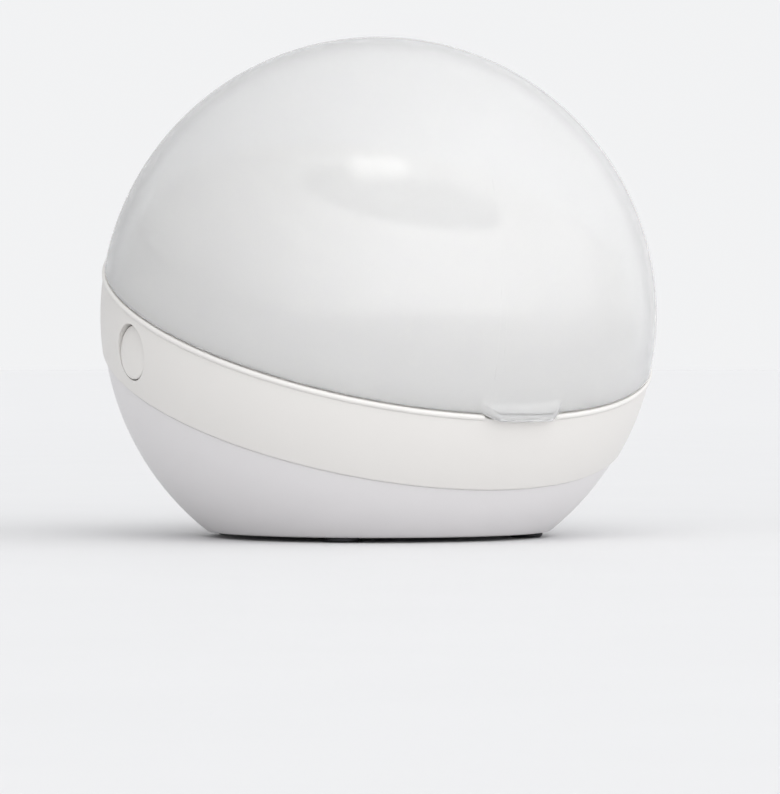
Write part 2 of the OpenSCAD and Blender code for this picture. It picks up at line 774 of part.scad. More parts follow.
// The space of the lid's lift tab, grown by a margin
module tab_space(grow) {
    low = lid_gap - tab_dip - grow;
    tip = ball_r + tab_reach + grow;
    side = tab_w / 2 + grow;
    lip = 0.6;
    crown = 1.4;
    root = wall + over;
    intersection() {
        rotate_extrude() polygon(concat(
            [[inner_r + 0.2 - grow, tab_rise], [inner_r + 0.2 - grow, low]],
            arc(tip - lip, low + lip, lip, -90, 0, 4),
            arc(tip - crown, tab_rise - 0.9, crown, 0, 60, 5),
            [[ball_r - 0.4, tab_rise + 1.2]]));
        translate([0, -ball_r, low - over]) linear_extrude(ball_r) polygon(concat(
            arc(tab_round - side, tab_round - tab_reach - grow, tab_round, 180, 270),
            arc(side - tab_round, tab_round - tab_reach - grow, tab_round, 270, 360),
            [[side, root], [-side, root]]));
    }
}

module lid_shell() {
    color([0.86, 0.89, 0.9, 0.5]) case_frame() difference() {
        union() {
            zone_wall(ball_r, lid_gap, ball_r + 1);
            difference() {
                tab_space(0);
                intersection() {
                    sphere(r = inner_r);
                    slab(0, ball_r);
                }
            }
            // Catch ridge inside the rim
            intersection() {
                rotate_extrude() polygon([
                    [inner_r + 0.5, 1.2], [inner_r - 0.2, 1.2], [inner_r - 0.5, 1.5], [inner_r - 0.5, 1.8],
                    [inner_r - 0.2, 2.1], [inner_r + 0.5, 2.1]]);
                block([-ridge_w / 2, -ball_r, 0], [ridge_w / 2, 0, 5]);
            }
            // Hinge knuckle, and the magnet's pocket above it
            rod_x(barrel_r, -knuckle_w / 2, knuckle_w / 2, hinge_v, hinge_w);
            block([-magnet_w / 2 - 0.9, magnet_v - 0.1, magnet_low - 0.9],
                [magnet_w / 2 + 0.9, magnet_v + magnet_t + 0.9, magnet_low + magnet_h + 0.9]);
        }
        rod_x(pin_r + turn, -ball_r, ball_r, hinge_v, hinge_w);
        for (x = [ear_in - 0.2, -ear_out - 0.3])
            rod_x(relief_r, x, x + ear_w + 0.5, hinge_v, hinge_w);
        block([-magnet_w / 2 - 0.05, magnet_v - over, magnet_low - 0.05],
            [magnet_w / 2 + 0.05, magnet_v + magnet_t + 0.05, magnet_low + magnet_h + 0.05]);
    }
}

// Magnet that tells the base that the lid is shut
module lid_magnet() {
    color([0.5, 0.5, 0.53]) case_frame() block(
        [-magnet_w / 2, magnet_v, magnet_low],
        [magnet_w / 2, magnet_v + magnet_t, magnet_low + magnet_h]);
}

// ---------------------------------------------------------------- button

module power_button() {
    color(ivory) case_frame() {
        // Cap with a slightly domed face
        intersection() {
            rod_x(button_r, button_face, keeper_x + keeper_t / 2, 0, button_w);
            translate([button_face + button_dome_r, 0, button_w]) sphere(r = button_dome_r);
        }
        // Keeper behind the wall, with a flat that stops it turning
        intersection() {
            rod_x(keeper_r, keeper_x, keeper_x + keeper_t, 0, button_w);
            slab(-ball_d, keeper_top);
        }
        rod_x(stem_r, keeper_x, stem_end, 0, button_w);
    }
}

module switch_plunger() {
    color([0.3, 0.3, 0.32]) case_frame()
        rod_x(plunger_r, stem_end, switch_x + plunger_in, 0, button_w);
}

lower_shell();
band_ring();
chamber_tray();
lamp_guard();
reflector_cup();
uv_lamp();
lamp_socket();
inner_leads();
control_board();
board_chips();
lamp_transformer();
tact_switch();
indicator_led();
buzzer();
reed_switch();
usb_socket();
battery_bay();
battery_cells();
contact_plates();
contact_springs();
case_screws();
foot_pads();
hinge_pin();
lid_shell();
lid_magnet();
power_button();
switch_plunger();
battery_door();
door_screws();
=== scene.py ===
"""Studio scene of a portable soother steriliser: a frosted lid on a white ball-shaped base.

Shapes are worked out in millimetres, most of them in the case frame, where X is the right, V runs up the
slope of the lid seam towards the back and W is the seam axis, square to the seam.
"""

import json
import math

import bpy
import numpy as np
from bpy.props import FloatProperty, FloatVectorProperty, IntProperty, PointerProperty
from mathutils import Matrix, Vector


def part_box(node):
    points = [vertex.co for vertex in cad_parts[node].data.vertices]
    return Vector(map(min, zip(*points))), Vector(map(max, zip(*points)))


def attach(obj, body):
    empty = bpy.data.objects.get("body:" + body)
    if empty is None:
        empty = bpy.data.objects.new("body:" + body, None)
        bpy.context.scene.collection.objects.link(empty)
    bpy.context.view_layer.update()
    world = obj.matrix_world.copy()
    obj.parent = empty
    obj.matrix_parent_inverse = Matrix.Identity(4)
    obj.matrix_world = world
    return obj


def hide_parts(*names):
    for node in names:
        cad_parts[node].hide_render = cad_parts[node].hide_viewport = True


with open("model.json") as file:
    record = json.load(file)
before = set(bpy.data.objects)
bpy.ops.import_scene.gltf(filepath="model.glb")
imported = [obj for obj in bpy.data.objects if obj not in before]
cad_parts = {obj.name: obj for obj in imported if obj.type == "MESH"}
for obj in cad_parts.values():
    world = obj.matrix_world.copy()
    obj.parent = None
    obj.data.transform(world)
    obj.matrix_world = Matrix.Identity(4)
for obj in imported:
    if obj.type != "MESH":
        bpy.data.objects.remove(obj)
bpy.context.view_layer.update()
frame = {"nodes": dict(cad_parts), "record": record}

bl_info = {
    "name": "Soother steriliser",
    "version": (1, 0, 0),
    "blender": (4, 5, 0),
    "location": "View3D > Sidebar > Steriliser",
    "description": "Builds the pieces, finishes and studio of a portable soother steriliser",
    "category": "Object",
}

MM = 0.001


def corner(node, end):
    """A corner of a node's box at rest, in millimetres; end 0 is the lowest and 1 the highest."""
    return np.array(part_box(node)[end]) / MM


# Sizes of the case in millimetres, taken from the frame or repeated from the construction
BALL_R = round(corner("lid_shell", 1)[0], 1)
CENTRE_Z = corner("lid_shell", 1)[2] - BALL_R
INLET = next(m for m in frame["record"]["mounts"] if m["name"] == "mains_inlet")
TILT = math.atan2(INLET["axis"][2], INLET["axis"][1])
WALL = 2.0
INNER_R = BALL_R - WALL
LID_LOW = 0.2
BAND_H = 13.1
BEAD_H = 0.9
BEAD_PROUD = 0.3
LOWER_R = BALL_R - 0.4
LOWER_TOP = -BAND_H - 0.1
FOOT_Z = 0.8
FLOOR_Z = 3.4
LIP_R = 41.05
LIP_H = 1.4
HINGE_V = BALL_R + 0.2
HINGE_W = 0.15
BARREL_R = 2.3
PIN_R = 1.0
RELIEF_R = 2.6
EAR_IN = 7.2
EAR_OUT = 12.0
KNUCKLE = 7.0
BUTTON_W = -6.4
BUTTON_R = 4.3
POSTS = [(x, y) for x in (-17.2, 17.2) for y in (-17.2, 17.2)]
LOBE_Y = 14.8
BOARD_TOP = -8.0
BOARD_LOW = -9.2
CUP_FLOOR = -8.8
CUP_RIM = -7.2
LEG_Y = 4.0
LEAD_X = -12.25
LEAD_Y = 2.5
LAMP_W = -6.6
GUARD_LOW = -4.5
HOLE_R = 16.5
TUBE_R = 18.3
CELL_L = 44.5
CELL_START = -21.1
TOP_CELL_Z = 18.103
BAY_X = 23.9
BOARD_R = 38.0
BOARD_IN = 19.0
BOARD_MID = 28.5
CHIPS = [(205, 7, 6, 1.4), (155, 5, 4, 1.3), (73, 3.2, 3.2, 1.2), (335, 6, 3.5, 1.6)]
CANS = [(27, 2.5, 7.5), (111, 2, 6)]
CELLS = [(1, -5.4, 8.75), (-1, 5.4, 8.75), (1, 0, TOP_CELL_Z)]
SIDES = (-1, 1)
TAU = 2 * math.pi


# ------------------------------------------------------------------------------------------- settings


def length(label, text, value, low, high):
    """A length that a user may change, kept in metres."""
    return FloatProperty(name=label, description=text, default=value * MM, min=low * MM, max=high * MM,
                         unit="LENGTH", precision=4)


def amount(label, text, value, **more):
    return FloatProperty(name=label, description=text, default=value, min=0, **more)


def colour(label, text, *rgb):
    return FloatVectorProperty(name=label, description=text, default=rgb, min=0, max=1, size=3,
                               subtype="COLOR")


class CaseSizes(bpy.types.PropertyGroup):
    """Small forms of the mouldings."""

    tab_w: length("Tab width", "Width of the lid's lift tab", 15.6, 10, 18)
    tab_reach: length("Tab reach", "How far the lift tab stands out from the ball", 1.8, 1, 3)
    tab_dip: length("Tab dip", "How far the lift tab reaches below the lid's rim", 0.65, 0.2, 1)
    tab_rise: length("Tab rise", "Height of the lift tab above the lid's rim", 0.9, 0.5, 3)
    rim_round: length("Rim round", "Round of the moulded rims", 0.35, 0.05, 0.8)
    facets: IntProperty(name="Facets", description="Faces round the ball", default=288, min=48, max=720)


class CaseColours(bpy.types.PropertyGroup):
    """Colours of the mouldings and of what they hold."""

    ivory: colour("Band", "Warm white of the band and the button", 0.685, 0.668, 0.646)
    # The lower shell's own white, with a faint cool purple tint that is a painted reflection of the
    # surroundings
    white_with_painted_reflection: colour("Lower shell", "Cool white of the lower shell", 0.69, 0.675, 0.68)
    tray_white: colour("Tray", "White of the inner tray", 0.85, 0.832, 0.8)
    frost: colour("Lid", "Milky tint of the lid", 0.985, 0.984, 0.981)
    rubber: colour("Rubber", "Dark grey of the foot pads", 0.022, 0.022, 0.024)
    mask: colour("Solder mask", "Green of the circuit board", 0.009, 0.1, 0.042)
    jacket: colour("Cell jacket", "Body colour of the cells", 0.05, 0.075, 0.12)


class StudioLook(bpy.types.PropertyGroup):
    """Camera and light."""

    azimuth: FloatProperty(name="Azimuth", description="Side that the camera sees", subtype="ANGLE",
                           default=math.radians(-31.7))
    distance: length("Distance", "From the ball's centre to the camera", 720, 300, 3000)
    camera_z: length("Camera height", "Height of the camera above the floor", 30.15, 5, 800)
    lens: FloatProperty(name="Lens", description="Focal length", default=201.4, min=20, max=400,
                        unit="CAMERA")
    key: amount("Key light", "Power of the high front light", 0.2, unit="POWER")
    side: amount("Side light", "Power of the light at the right", 0.07, unit="POWER")
    fill: amount("Fill light", "Mean brightness of the surroundings", 0.95)
    slant: amount("Slant", "Share by which the front right is brighter than the mean", 0.38, max=1)
    front: amount("Front light", "Brightness of the wide soft light from the front", 1.15)
    backdrop: amount("Backdrop", "Brightness behind the case", 0.9)


def sizes():
    return bpy.context.scene.case_sizes


def hues():
    return bpy.context.scene.case_colours


# ------------------------------------------------------------------------------------------ mesh tools


def arc(cx, cy, r, start, end, steps=6):
    """Points (cx + r cos a, cy + r sin a) for angles a in degrees from start to end."""
    a = np.radians(np.linspace(start, end, steps))
    return np.stack([cx + r * np.cos(a), cy + r * np.sin(a)], -1)


def softened(points, steps=5, closed=False):
    """An outline of rows (a, b, round) with each corner P cut back by its round to A and B, and the curve
    (1-t)^2 A + 2t(1-t) P + t^2 B put between them."""
    p = np.asarray(points, float)
    xy, d = p[:, :2], p[:, 2:3]
    before, after = np.roll(xy, 1, 0) - xy, np.roll(xy, -1, 0) - xy
    if not closed:
        before[0], after[-1], d = 0, 0, d.copy()
        d[0] = d[-1] = 0
    reach = lambda v: v / np.maximum(np.linalg.norm(v, axis=1, keepdims=True), 1e-9)
    a, b = xy + reach(before) * d, xy + reach(after) * d
    t = np.linspace(0, 1, steps)[None, :, None]
    out = (1 - t) ** 2 * a[:, None] + 2 * t * (1 - t) * xy[:, None] + t**2 * b[:, None]
    return out.reshape(-1, 2)


def smooth(x, low, high):
    """0 below low, 1 above high, and 3t^2 - 2t^3 between."""
    t = np.clip((x - low) / (high - low), 0, 1)
    return t * t * (3 - 2 * t)


def case(p):
    """Points (x, v, w) of the case frame, turned upright: y = v cos t - w sin t, z = v sin t + w cos t."""
    c, s = math.cos(TILT), math.sin(TILT)
    x, v, w = p[..., 0], p[..., 1], p[..., 2]
    return np.stack([x, v * c - w * s, v * s + w * c + CENTRE_Z], -1)


def upright(p):
    return p


def spun(profile, angles=None, steps=96):
    """A surface of revolution: each profile point (r, w) goes to (r cos a, r sin a, w). The profile may
    differ from angle to angle, as an array of angles by points. A profile with its ends on the axis closes
    there, and any other is a ring."""
    profile = np.asarray(profile, float)
    a = np.arange(steps) * TAU / steps if angles is None else angles
    if profile.ndim == 2:
        profile = np.broadcast_to(profile, (len(a), *profile.shape))
    r, w = profile[..., 0], profile[..., 1]
    ring = bool(np.max(r[:, 0]) > 1e-6)
    return np.stack([r * np.cos(a)[:, None], r * np.sin(a)[:, None], w], -1), True, ring


def prism(outline, low, high, soft=0.0, steps=3):
    """An outline (a, b), star-shaped about its middle, drawn from low to high, with both ends' edges drawn
    in by soft along a quarter circle."""
    mid = outline.mean(0)
    size = np.abs(outline - mid).max()
    q = np.linspace(0, math.pi / 2, steps)
    inset = np.concatenate([soft * (1 - np.sin(q)), soft * (1 - np.sin(q[::-1]))])
    level = np.concatenate([low + soft * (1 - np.cos(q)), high - soft * (1 - np.cos(q[::-1]))])
    k = np.concatenate([[0], 1 - inset / size, [0]])[None, :, None]
    level = np.concatenate([[low], level, [high]])
    flat = mid + (outline - mid)[:, None] * k
    z = np.broadcast_to(level[None, :, None], (*flat.shape[:2], 1))
    return np.concatenate([flat, z], -1), True, False


def rod(r, low, high, soft=0.0, steps=48):
    """A round rod along its third axis."""
    a = np.arange(steps) * TAU / steps
    return prism(np.stack([r * np.cos(a), r * np.sin(a)], -1), low, high, soft)


def box_outline(x, y, r, steps=5):
    """Rectangle of half sizes x and y with corners of radius r."""
    signs = [(1, 1), (-1, 1), (-1, -1), (1, -1)]
    return np.concatenate([arc(a * (x - r), b * (y - r), r, 90 * i, 90 * i + 90, steps)
                           for i, (a, b) in enumerate(signs)])


def slab(x0, x1, y0, y1, z0, z1, soft=0.1):
    """A box with its upright edges rounded by soft and its other edges by half of that."""
    p, u, v = prism(box_outline((x1 - x0) / 2, (y1 - y0) / 2, soft, 3), z0, z1, soft / 2)
    return p + np.array([(x0 + x1) / 2, (y0 + y1) / 2, 0]), u, v


def lying(grid, axis):
    """A shape drawn along its third axis, laid along x or y (v in the case frame)."""
    p, u, v = grid
    a, b, c = p[..., 0], p[..., 1], p[..., 2]
    return np.stack([c, a, b] if axis == "x" else [a, c, b], -1), u, v


def moved(grid, x=0.0, y=0.0, z=0.0):
    p, u, v = grid
    return p + np.array([x, y, z]), u, v


def at_hinge(grid):
    """A shape drawn along its third axis, laid along the hinge."""
    return moved(lying(grid, "x"), 0, HINGE_V, HINGE_W)


def at_button(grid):
    """A shape drawn along its third axis, laid along the button's way in."""
    return moved(lying(grid, "x"), 0, 0, BUTTON_W)


def at_inlet(grid):
    """A shape drawn along its third axis, laid along the inlet."""
    return moved(lying(grid, "y"), 0, 0, LAMP_W)


def swept(path, section, up, scale=1.0):
    """An outline (a, b) carried along a path. At each point its plane is square to the tangent T; a runs
    along N, which is up less its part along T, and b along T x N. Scale may differ from point to point."""
    t = np.gradient(np.asarray(path, float), axis=0)
    t /= np.linalg.norm(t, axis=1, keepdims=True)
    n = up - (t @ up)[:, None] * t
    n /= np.linalg.norm(n, axis=1, keepdims=True)
    b = np.cross(t, n)
    k = np.broadcast_to(scale, len(path))[None, :, None]
    p = path[None] + k * (section[:, :1, None] * n[None] + section[:, 1:, None] * b[None])
    ends = lambda i: np.broadcast_to(path[i], (len(section), 1, 3))
    return np.concatenate([ends(0), p, ends(-1)], 1), True, False


def tube(path, r, up, steps=12):
    """A circle of radius r carried along a path."""
    a = np.arange(steps) * TAU / steps
    return swept(path, np.stack([np.cos(a), np.sin(a)], -1), np.asarray(up, float), r)


def strip(path, a, b, up):
    """A flat strip of half sizes a and b carried along a path."""
    return swept(path, np.array([(a, b), (-a, b), (-a, -b), (a, -b)]), np.asarray(up, float))


def bent(points, r, steps=6):
    """A path of straight runs with each inner corner P rounded as in softened(), in space."""
    p = np.asarray(points, float)
    to = lambda v: v / np.linalg.norm(v, axis=1, keepdims=True)
    a, b = p[1:-1] + to(p[:-2] - p[1:-1]) * r, p[1:-1] + to(p[2:] - p[1:-1]) * r
    t = np.linspace(0, 1, steps)[None, :, None]
    mid = (1 - t) ** 2 * a[:, None] + 2 * t * (1 - t) * p[1:-1, None] + t**2 * b[:, None]
    return np.concatenate([p[:1], mid.reshape(-1, 3), p[-1:]])


def mesh_of(name, grids, place=case):
    """One mesh of several closed grids. Corner i, j of a grid joins i+1, j+1; points that fall together are
    made one, and a grid whose signed volume is below zero has its faces turned round."""
    points, faces, first = [], [], 0
    for p, wrap_u, wrap_v in grids:
        p = place(p) * MM
        n, m = p.shape[:2]
        i = np.arange(n if wrap_u else n - 1)[:, None]
        j = np.arange(m if wrap_v else m - 1)[None, :]
        at = lambda i, j: i % n * m + j % m
        quads = np.stack([at(i, j), at(i + 1, j), at(i + 1, j + 1), at(i, j + 1)], -1).reshape(-1, 4)
        kept, back = np.unique(np.round(p.reshape(-1, 3), 9), axis=0, return_inverse=True)
        quads = back.reshape(-1)[quads]
        a, b, c, d = (kept[quads[:, k]] for k in range(4))
        volume = (np.cross(a, b) * c).sum() + (np.cross(a, c) * d).sum()
        if volume < 0:
            quads = quads[:, ::-1]
        same = quads == np.roll(quads, -1, 1)
        whole = quads[~same.any(1)] + first
        faces += whole.tolist()
        for k in range(4):
            narrow = quads[same[:, k] & (same.sum(1) == 1)]
            faces += (np.delete(narrow, k, 1) + first).tolist()
        points.append(kept)
        first += len(kept)
    mesh = bpy.data.meshes.new(name)
    mesh.from_pydata(np.concatenate(points).tolist(), [], faces)
    mesh.update()
    return mesh


def solid(name, grids, place=case):
    thing = bpy.data.objects.new(name, mesh_of(name, grids, place))
    bpy.context.scene.collection.objects.link(thing)
    return thing


def bake(thing):
    """Puts the modifiers' result into the object's own mesh."""
    graph = bpy.context.evaluated_depsgraph_get()
    mesh = bpy.data.meshes.new_from_object(thing.evaluated_get(graph))
    thing.modifiers.clear()
    thing.data = mesh


def combine(thing, others, operation):
    """Adds (UNION) or takes away (DIFFERENCE) other solids, which are then deleted."""
    for other in others:
        step = thing.modifiers.new(operation, "BOOLEAN")
        step.operation, step.solver, step.object = operation, "MANIFOLD", other
    bake(thing)
    for other in others:
        bpy.data.objects.remove(other)


def joined(thing, grids, place=case):
    combine(thing, [solid("tool", [g], place) for g in grids], "UNION")


def cut(thing, grids, place=case):
    combine(thing, [solid("tool", [g], place) for g in grids], "DIFFERENCE")


def crease(thing, angle=32):
    """Smooth faces, with edges sharper than the angle left crisp and large flat faces kept flat."""
    mesh = thing.data
    mesh.shade_smooth()
    mesh.set_sharp_from_angle(angle=math.radians(angle))
    even = thing.modifiers.new("even", "WEIGHTED_NORMAL")
    even.keep_sharp = True
    bake(thing)


def finish(thing, body, material, slot, *nodes, angle=32):
    """Hands a finished piece over: shading, material, body, and the nodes that it stands for."""
    crease(thing, angle)
    thing.data.materials.clear()
    thing.data.materials.append(material)
    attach(thing, body)
    if nodes:
        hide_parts(*nodes)
    return thing


def piece(name, grids, material, slot, *nodes, body="base", place=case, adds=(), cuts=()):
    """A finished solid, with the shapes of adds joined on and then those of cuts taken away."""
    thing = solid(name, grids, place)
    if adds:
        joined(thing, adds, place)
    if cuts:
        cut(thing, cuts, place)
    return finish(thing, body, material, slot, *nodes)


# ------------------------------------------------------------------------------------------- materials


FLOAT, VECTOR, COLOR = "NodeSocketFloat", "NodeSocketVector", "NodeSocketColor"
RESULTS = (("Colour", COLOR), ("Roughness", FLOAT), ("Height", FLOAT))


def effect(name, rough, extra, build):
    """A shared effect: a node group that takes a place, a colour, a roughness and what extra names, and
    gives the colour, roughness and height that build() makes of them."""
    if name in bpy.data.node_groups:
        return bpy.data.node_groups[name]
    tree = bpy.data.node_groups.new(name, "ShaderNodeTree")
    for label, kind, value in (("Vector", VECTOR, None), ("Colour", COLOR, (1, 1, 1, 1)),
                               ("Roughness", FLOAT, rough), *extra):
        socket = tree.interface.new_socket(label, in_out="INPUT", socket_type=kind)
        if value is not None:
            socket.default_value = value
    for label, kind in RESULTS:
        tree.interface.new_socket(label, in_out="OUTPUT", socket_type=kind)
    given, made = tree.nodes.new("NodeGroupInput"), tree.nodes.new("NodeGroupOutput")
    for (label, _), source in zip(RESULTS, build(tree, given.outputs)):
        tree.links.new(source, made.inputs[label])
    return tree


def node(tree, kind, links=(), **values):
    """A node with its settings; links gives, for an input's name or number, a socket or a plain value."""
    made = tree.nodes.new("ShaderNode" + kind)
    for key, value in values.items():
        setattr(made, key, value)
    for key, source in dict(links).items():
        if isinstance(source, bpy.types.NodeSocket):
            tree.links.new(source, made.inputs[key])
        else:
            made.inputs[key].default_value = source
    return made


def math_node(tree, operation, *values, clamp=False):
    return node(tree, "Math", dict(enumerate(values)), operation=operation, use_clamp=clamp).outputs[0]


def mixed(tree, a, b, c):
    """a b + c."""
    return math_node(tree, "MULTIPLY_ADD", a, b, c)


def shaded(tree, colour, factor):
    return node(tree, "VectorMath", {0: colour, "Scale": factor}, operation="SCALE").outputs[0]


def noise(tree, where, scale, detail, rough=0.5):
    links = {"Vector": where, "Scale": scale, "Detail": detail, "Roughness": rough}
    return node(tree, "TexNoise", links).outputs["Fac"]


def moulded_skin():
    """Moulded plastic: fine spark-eroded grain, slow waviness of the wall, a faint cloudiness of the colour
    and soft wipe marks in the gloss."""
    def build(tree, given):
        where = given["Vector"]
        grain = noise(tree, where, math_node(tree, "DIVIDE", 5200.0, given["Grain size"]), 2.0, 0.6)
        wave, cloud = noise(tree, where, 45.0, 1.0), noise(tree, where, 26.0, 4.0, 0.55)
        turned = node(tree, "Mapping", {"Vector": where, "Scale": (60.0, 60.0, 110.0),
                                        "Rotation": (0.5, 0.3, 0.2)})
        wipe = math_node(tree, "SUBTRACT", noise(tree, turned.outputs[0], 1.0, 2.0), 0.5)
        shade = mixed(tree, math_node(tree, "SUBTRACT", cloud, 0.5), given["Clouding"], 1.0)
        gloss = mixed(tree, grain, 0.05, mixed(tree, wipe, 0.08, 0.0))
        gloss = math_node(tree, "ADD", gloss, given["Roughness"], clamp=True)
        height = math_node(tree, "MULTIPLY", grain, given["Grain height"])
        return shaded(tree, given["Colour"], shade), gloss, mixed(tree, wave, 1.6, height)

    return effect("moulded_skin", 0.4, [("Grain size", FLOAT, 1.0), ("Grain height", FLOAT, 1.0),
                                        ("Clouding", FLOAT, 0.03)], build)


def worked_metal():
    """Drawn or plated metal: fine lines along one direction, spots in the gloss and a little tarnish."""
    def build(tree, given):
        along = node(tree, "VectorMath", {0: given["Vector"], 1: given["Line scale"]}, operation="MULTIPLY")
        lines = noise(tree, along.outputs[0], 1.0, 3.0)
        spots = noise(tree, given["Vector"], 420.0, 5.0)
        spots = node(tree, "MapRange", {"Value": spots, "From Min": 0.45, "From Max": 0.75}).outputs[0]
        dull = math_node(tree, "MULTIPLY", spots, given["Tarnish"])
        rough = mixed(tree, dull, 0.4, mixed(tree, lines, 0.16, given["Roughness"]))
        rough = math_node(tree, "SUBTRACT", rough, 0.08, clamp=True)
        return shaded(tree, given["Colour"], mixed(tree, dull, -0.5, 1.0)), rough, lines

    return effect("worked_metal", 0.25, [("Line scale", VECTOR, (400, 400, 6000)), ("Tarnish", FLOAT, 0.2)],
                  build)


def surface(name, skin_of, rgb, rough, bump, inputs=(), **sockets):
    """A material: one shared effect feeds colour, roughness and bump of a Principled shader, and what is the
    same all over sits on the shader's own sockets."""
    if name in bpy.data.materials:
        return bpy.data.materials[name]
    material = bpy.data.materials.new(name)
    material.use_nodes = True
    tree = material.node_tree
    shader = tree.nodes["Principled BSDF"]
    where = node(tree, "TexCoord").outputs["Object"]
    skin = node(tree, "Group", node_tree=skin_of)
    skin.inputs["Colour"].default_value = (*rgb, 1)
    skin.inputs["Roughness"].default_value = rough
    for key, value in dict(inputs).items():
        skin.inputs[key].default_value = value
    tree.links.new(where, skin.inputs["Vector"])
    tree.links.new(skin.outputs["Colour"], shader.inputs["Base Color"])
    tree.links.new(skin.outputs["Roughness"], shader.inputs["Roughness"])
    relief = node(tree, "Bump", {"Height": skin.outputs["Height"], "Strength": 1.0, "Distance": bump * MM})
    tree.links.new(relief.outputs[0], shader.inputs["Normal"])
    for key, value in sockets.items():
        shader.inputs[key.replace("_", " ")].default_value = value
    return material


def plastic(name, rgb, rough=0.38, bump=0.003, grain=1.0, height=1.0, **sockets):
    return surface(name, moulded_skin(), rgb, rough, bump, {"Grain size": grain, "Grain height": height},
                   **sockets)


def metal(name, rgb, rough=0.25, bump=0.002, lines=(400, 400, 6000), tarnish=0.2):
    return surface(name, worked_metal(), rgb, rough, bump, {"Line scale": lines, "Tarnish": tarnish},
                   Metallic=1.0)


def ivory():
    return plastic("ivory_shell", hues().ivory, 0.34, Coat_Weight=0.1, Coat_Roughness=0.2)


# Own white of the lower shell and the battery door, with a faint cool purple tint painted in as a reflection
# of the surroundings
def white_with_painted_reflection():
    return plastic("shell_painted_reflection", hues().white_with_painted_reflection, 0.36)


def tray_white():
    return plastic("tray_satin", hues().tray_white, 0.42)


def frosted():
    return plastic("frosted_lid", hues().frost, 0.045, 0.002, 2.0, 0.3, Transmission_Weight=0.64, IOR=1.46,
                   Specular_IOR_Level=0.12, Subsurface_Weight=1.0, Subsurface_Scale=0.002,
                   Subsurface_Radius=(1, 1, 1), Coat_Weight=0.45, Coat_Roughness=0.2)


def pale_floor():
    """Matt white, a little paler far off, so that it runs into the backdrop. Inputs 6 and 7 of a colour mix
    are its two colours, and output 2 the mixture."""
    material = plastic("pale_floor", (0.86, 0.86, 0.865), 0.55, 0.01, 6.0, Specular_IOR_Level=0.15)
    tree = material.node_tree
    away = node(tree, "VectorMath", {0: node(tree, "TexCoord").outputs["Object"]}, operation="LENGTH")
    far = node(tree, "MapRange", {"Value": away.outputs["Value"], "From Min": 0.15, "From Max": 1.2})
    tone = node(tree, "Mix", {0: far.outputs[0], 6: (0.7, 0.7, 0.705, 1), 7: (0.725, 0.725, 0.73, 1)},
                data_type="RGBA")
    tree.links.new(tone.outputs[2], next(n for n in tree.nodes if n.type == "GROUP").inputs["Colour"])
    return material


def nickel():
    return metal("nickel_plate", (0.66, 0.64, 0.6), 0.28)


def steel():
    return metal("zinc_steel", (0.56, 0.57, 0.58), 0.33, tarnish=0.3)


def rubber():
    return plastic("foot_rubber", hues().rubber, 0.7, 0.02, 4.0, Specular_IOR_Level=0.35)


def tin():
    return metal("tinned", (0.62, 0.62, 0.6), 0.3, lines=(900, 900, 900))


def aluminium():
    return metal("bare_aluminium", (0.74, 0.75, 0.76), 0.3, lines=(3000, 300, 300))


def mask_skin():
    """Solder mask over copper: the lines between square cells of two sizes stand up a little and show paler,
    as tracks do under the mask."""
    def build(tree, given):
        where, tracks = given["Vector"], 0.0
        for scale, width in ((330.0, 0.09), (760.0, 0.06)):
            links = {"Vector": where, "Scale": scale, "Randomness": 0.55}
            far, near = (node(tree, "TexVoronoi", links, feature=f, distance="CHEBYCHEV").outputs["Distance"]
                         for f in ("F2", "F1"))
            line = math_node(tree, "LESS_THAN", math_node(tree, "SUBTRACT", far, near), width)
            tracks = math_node(tree, "MAXIMUM", tracks, line)
        weave = noise(tree, where, 700.0, 2.0)
        rough, height = mixed(tree, weave, 0.12, given["Roughness"]), mixed(tree, weave, 0.2, tracks)
        return shaded(tree, given["Colour"], mixed(tree, tracks, 0.55, 1.0)), rough, height

    return effect("mask_skin", 0.3, [], build)


# --------------------------------------------------------------------------------------- ball mouldings


def ring_angles(*dense):
    """Angles round the seam axis, with more of them within 2.5 mm either side of each place |x| = dense at
    the front."""
    base = np.arange(sizes().facets) * TAU / sizes().facets
    extra = [-math.pi / 2 + s * (d + np.linspace(-2.5, 2.5, 41)) / BALL_R for d in dense for s in SIDES]
    return np.unique(np.round(np.concatenate([base, *[e % TAU for e in extra]]), 7))


def from_front(a):
    """Way along the rim from the middle of the front to each angle."""
    return BALL_R * np.abs((a + math.pi / 2 + math.pi) % TAU - math.pi)


def front_weight(a, half, soft):
    """1 at the front within half of the middle, falling to 0 along a quarter circle of radius soft."""
    t = np.clip((half - from_front(a)) / soft, 0, 1)
    return np.sqrt(1 - (1 - t) ** 2)


def at_all(a, outline):
    """The same outline at each of the angles."""
    return np.broadcast_to(outline, (len(a), *outline.shape))


def on_ball(r, w):
    """Points (radius, w) of a ball at heights w."""
    return np.stack([np.sqrt(np.maximum(r * r - w * w, 0)), w], -1)


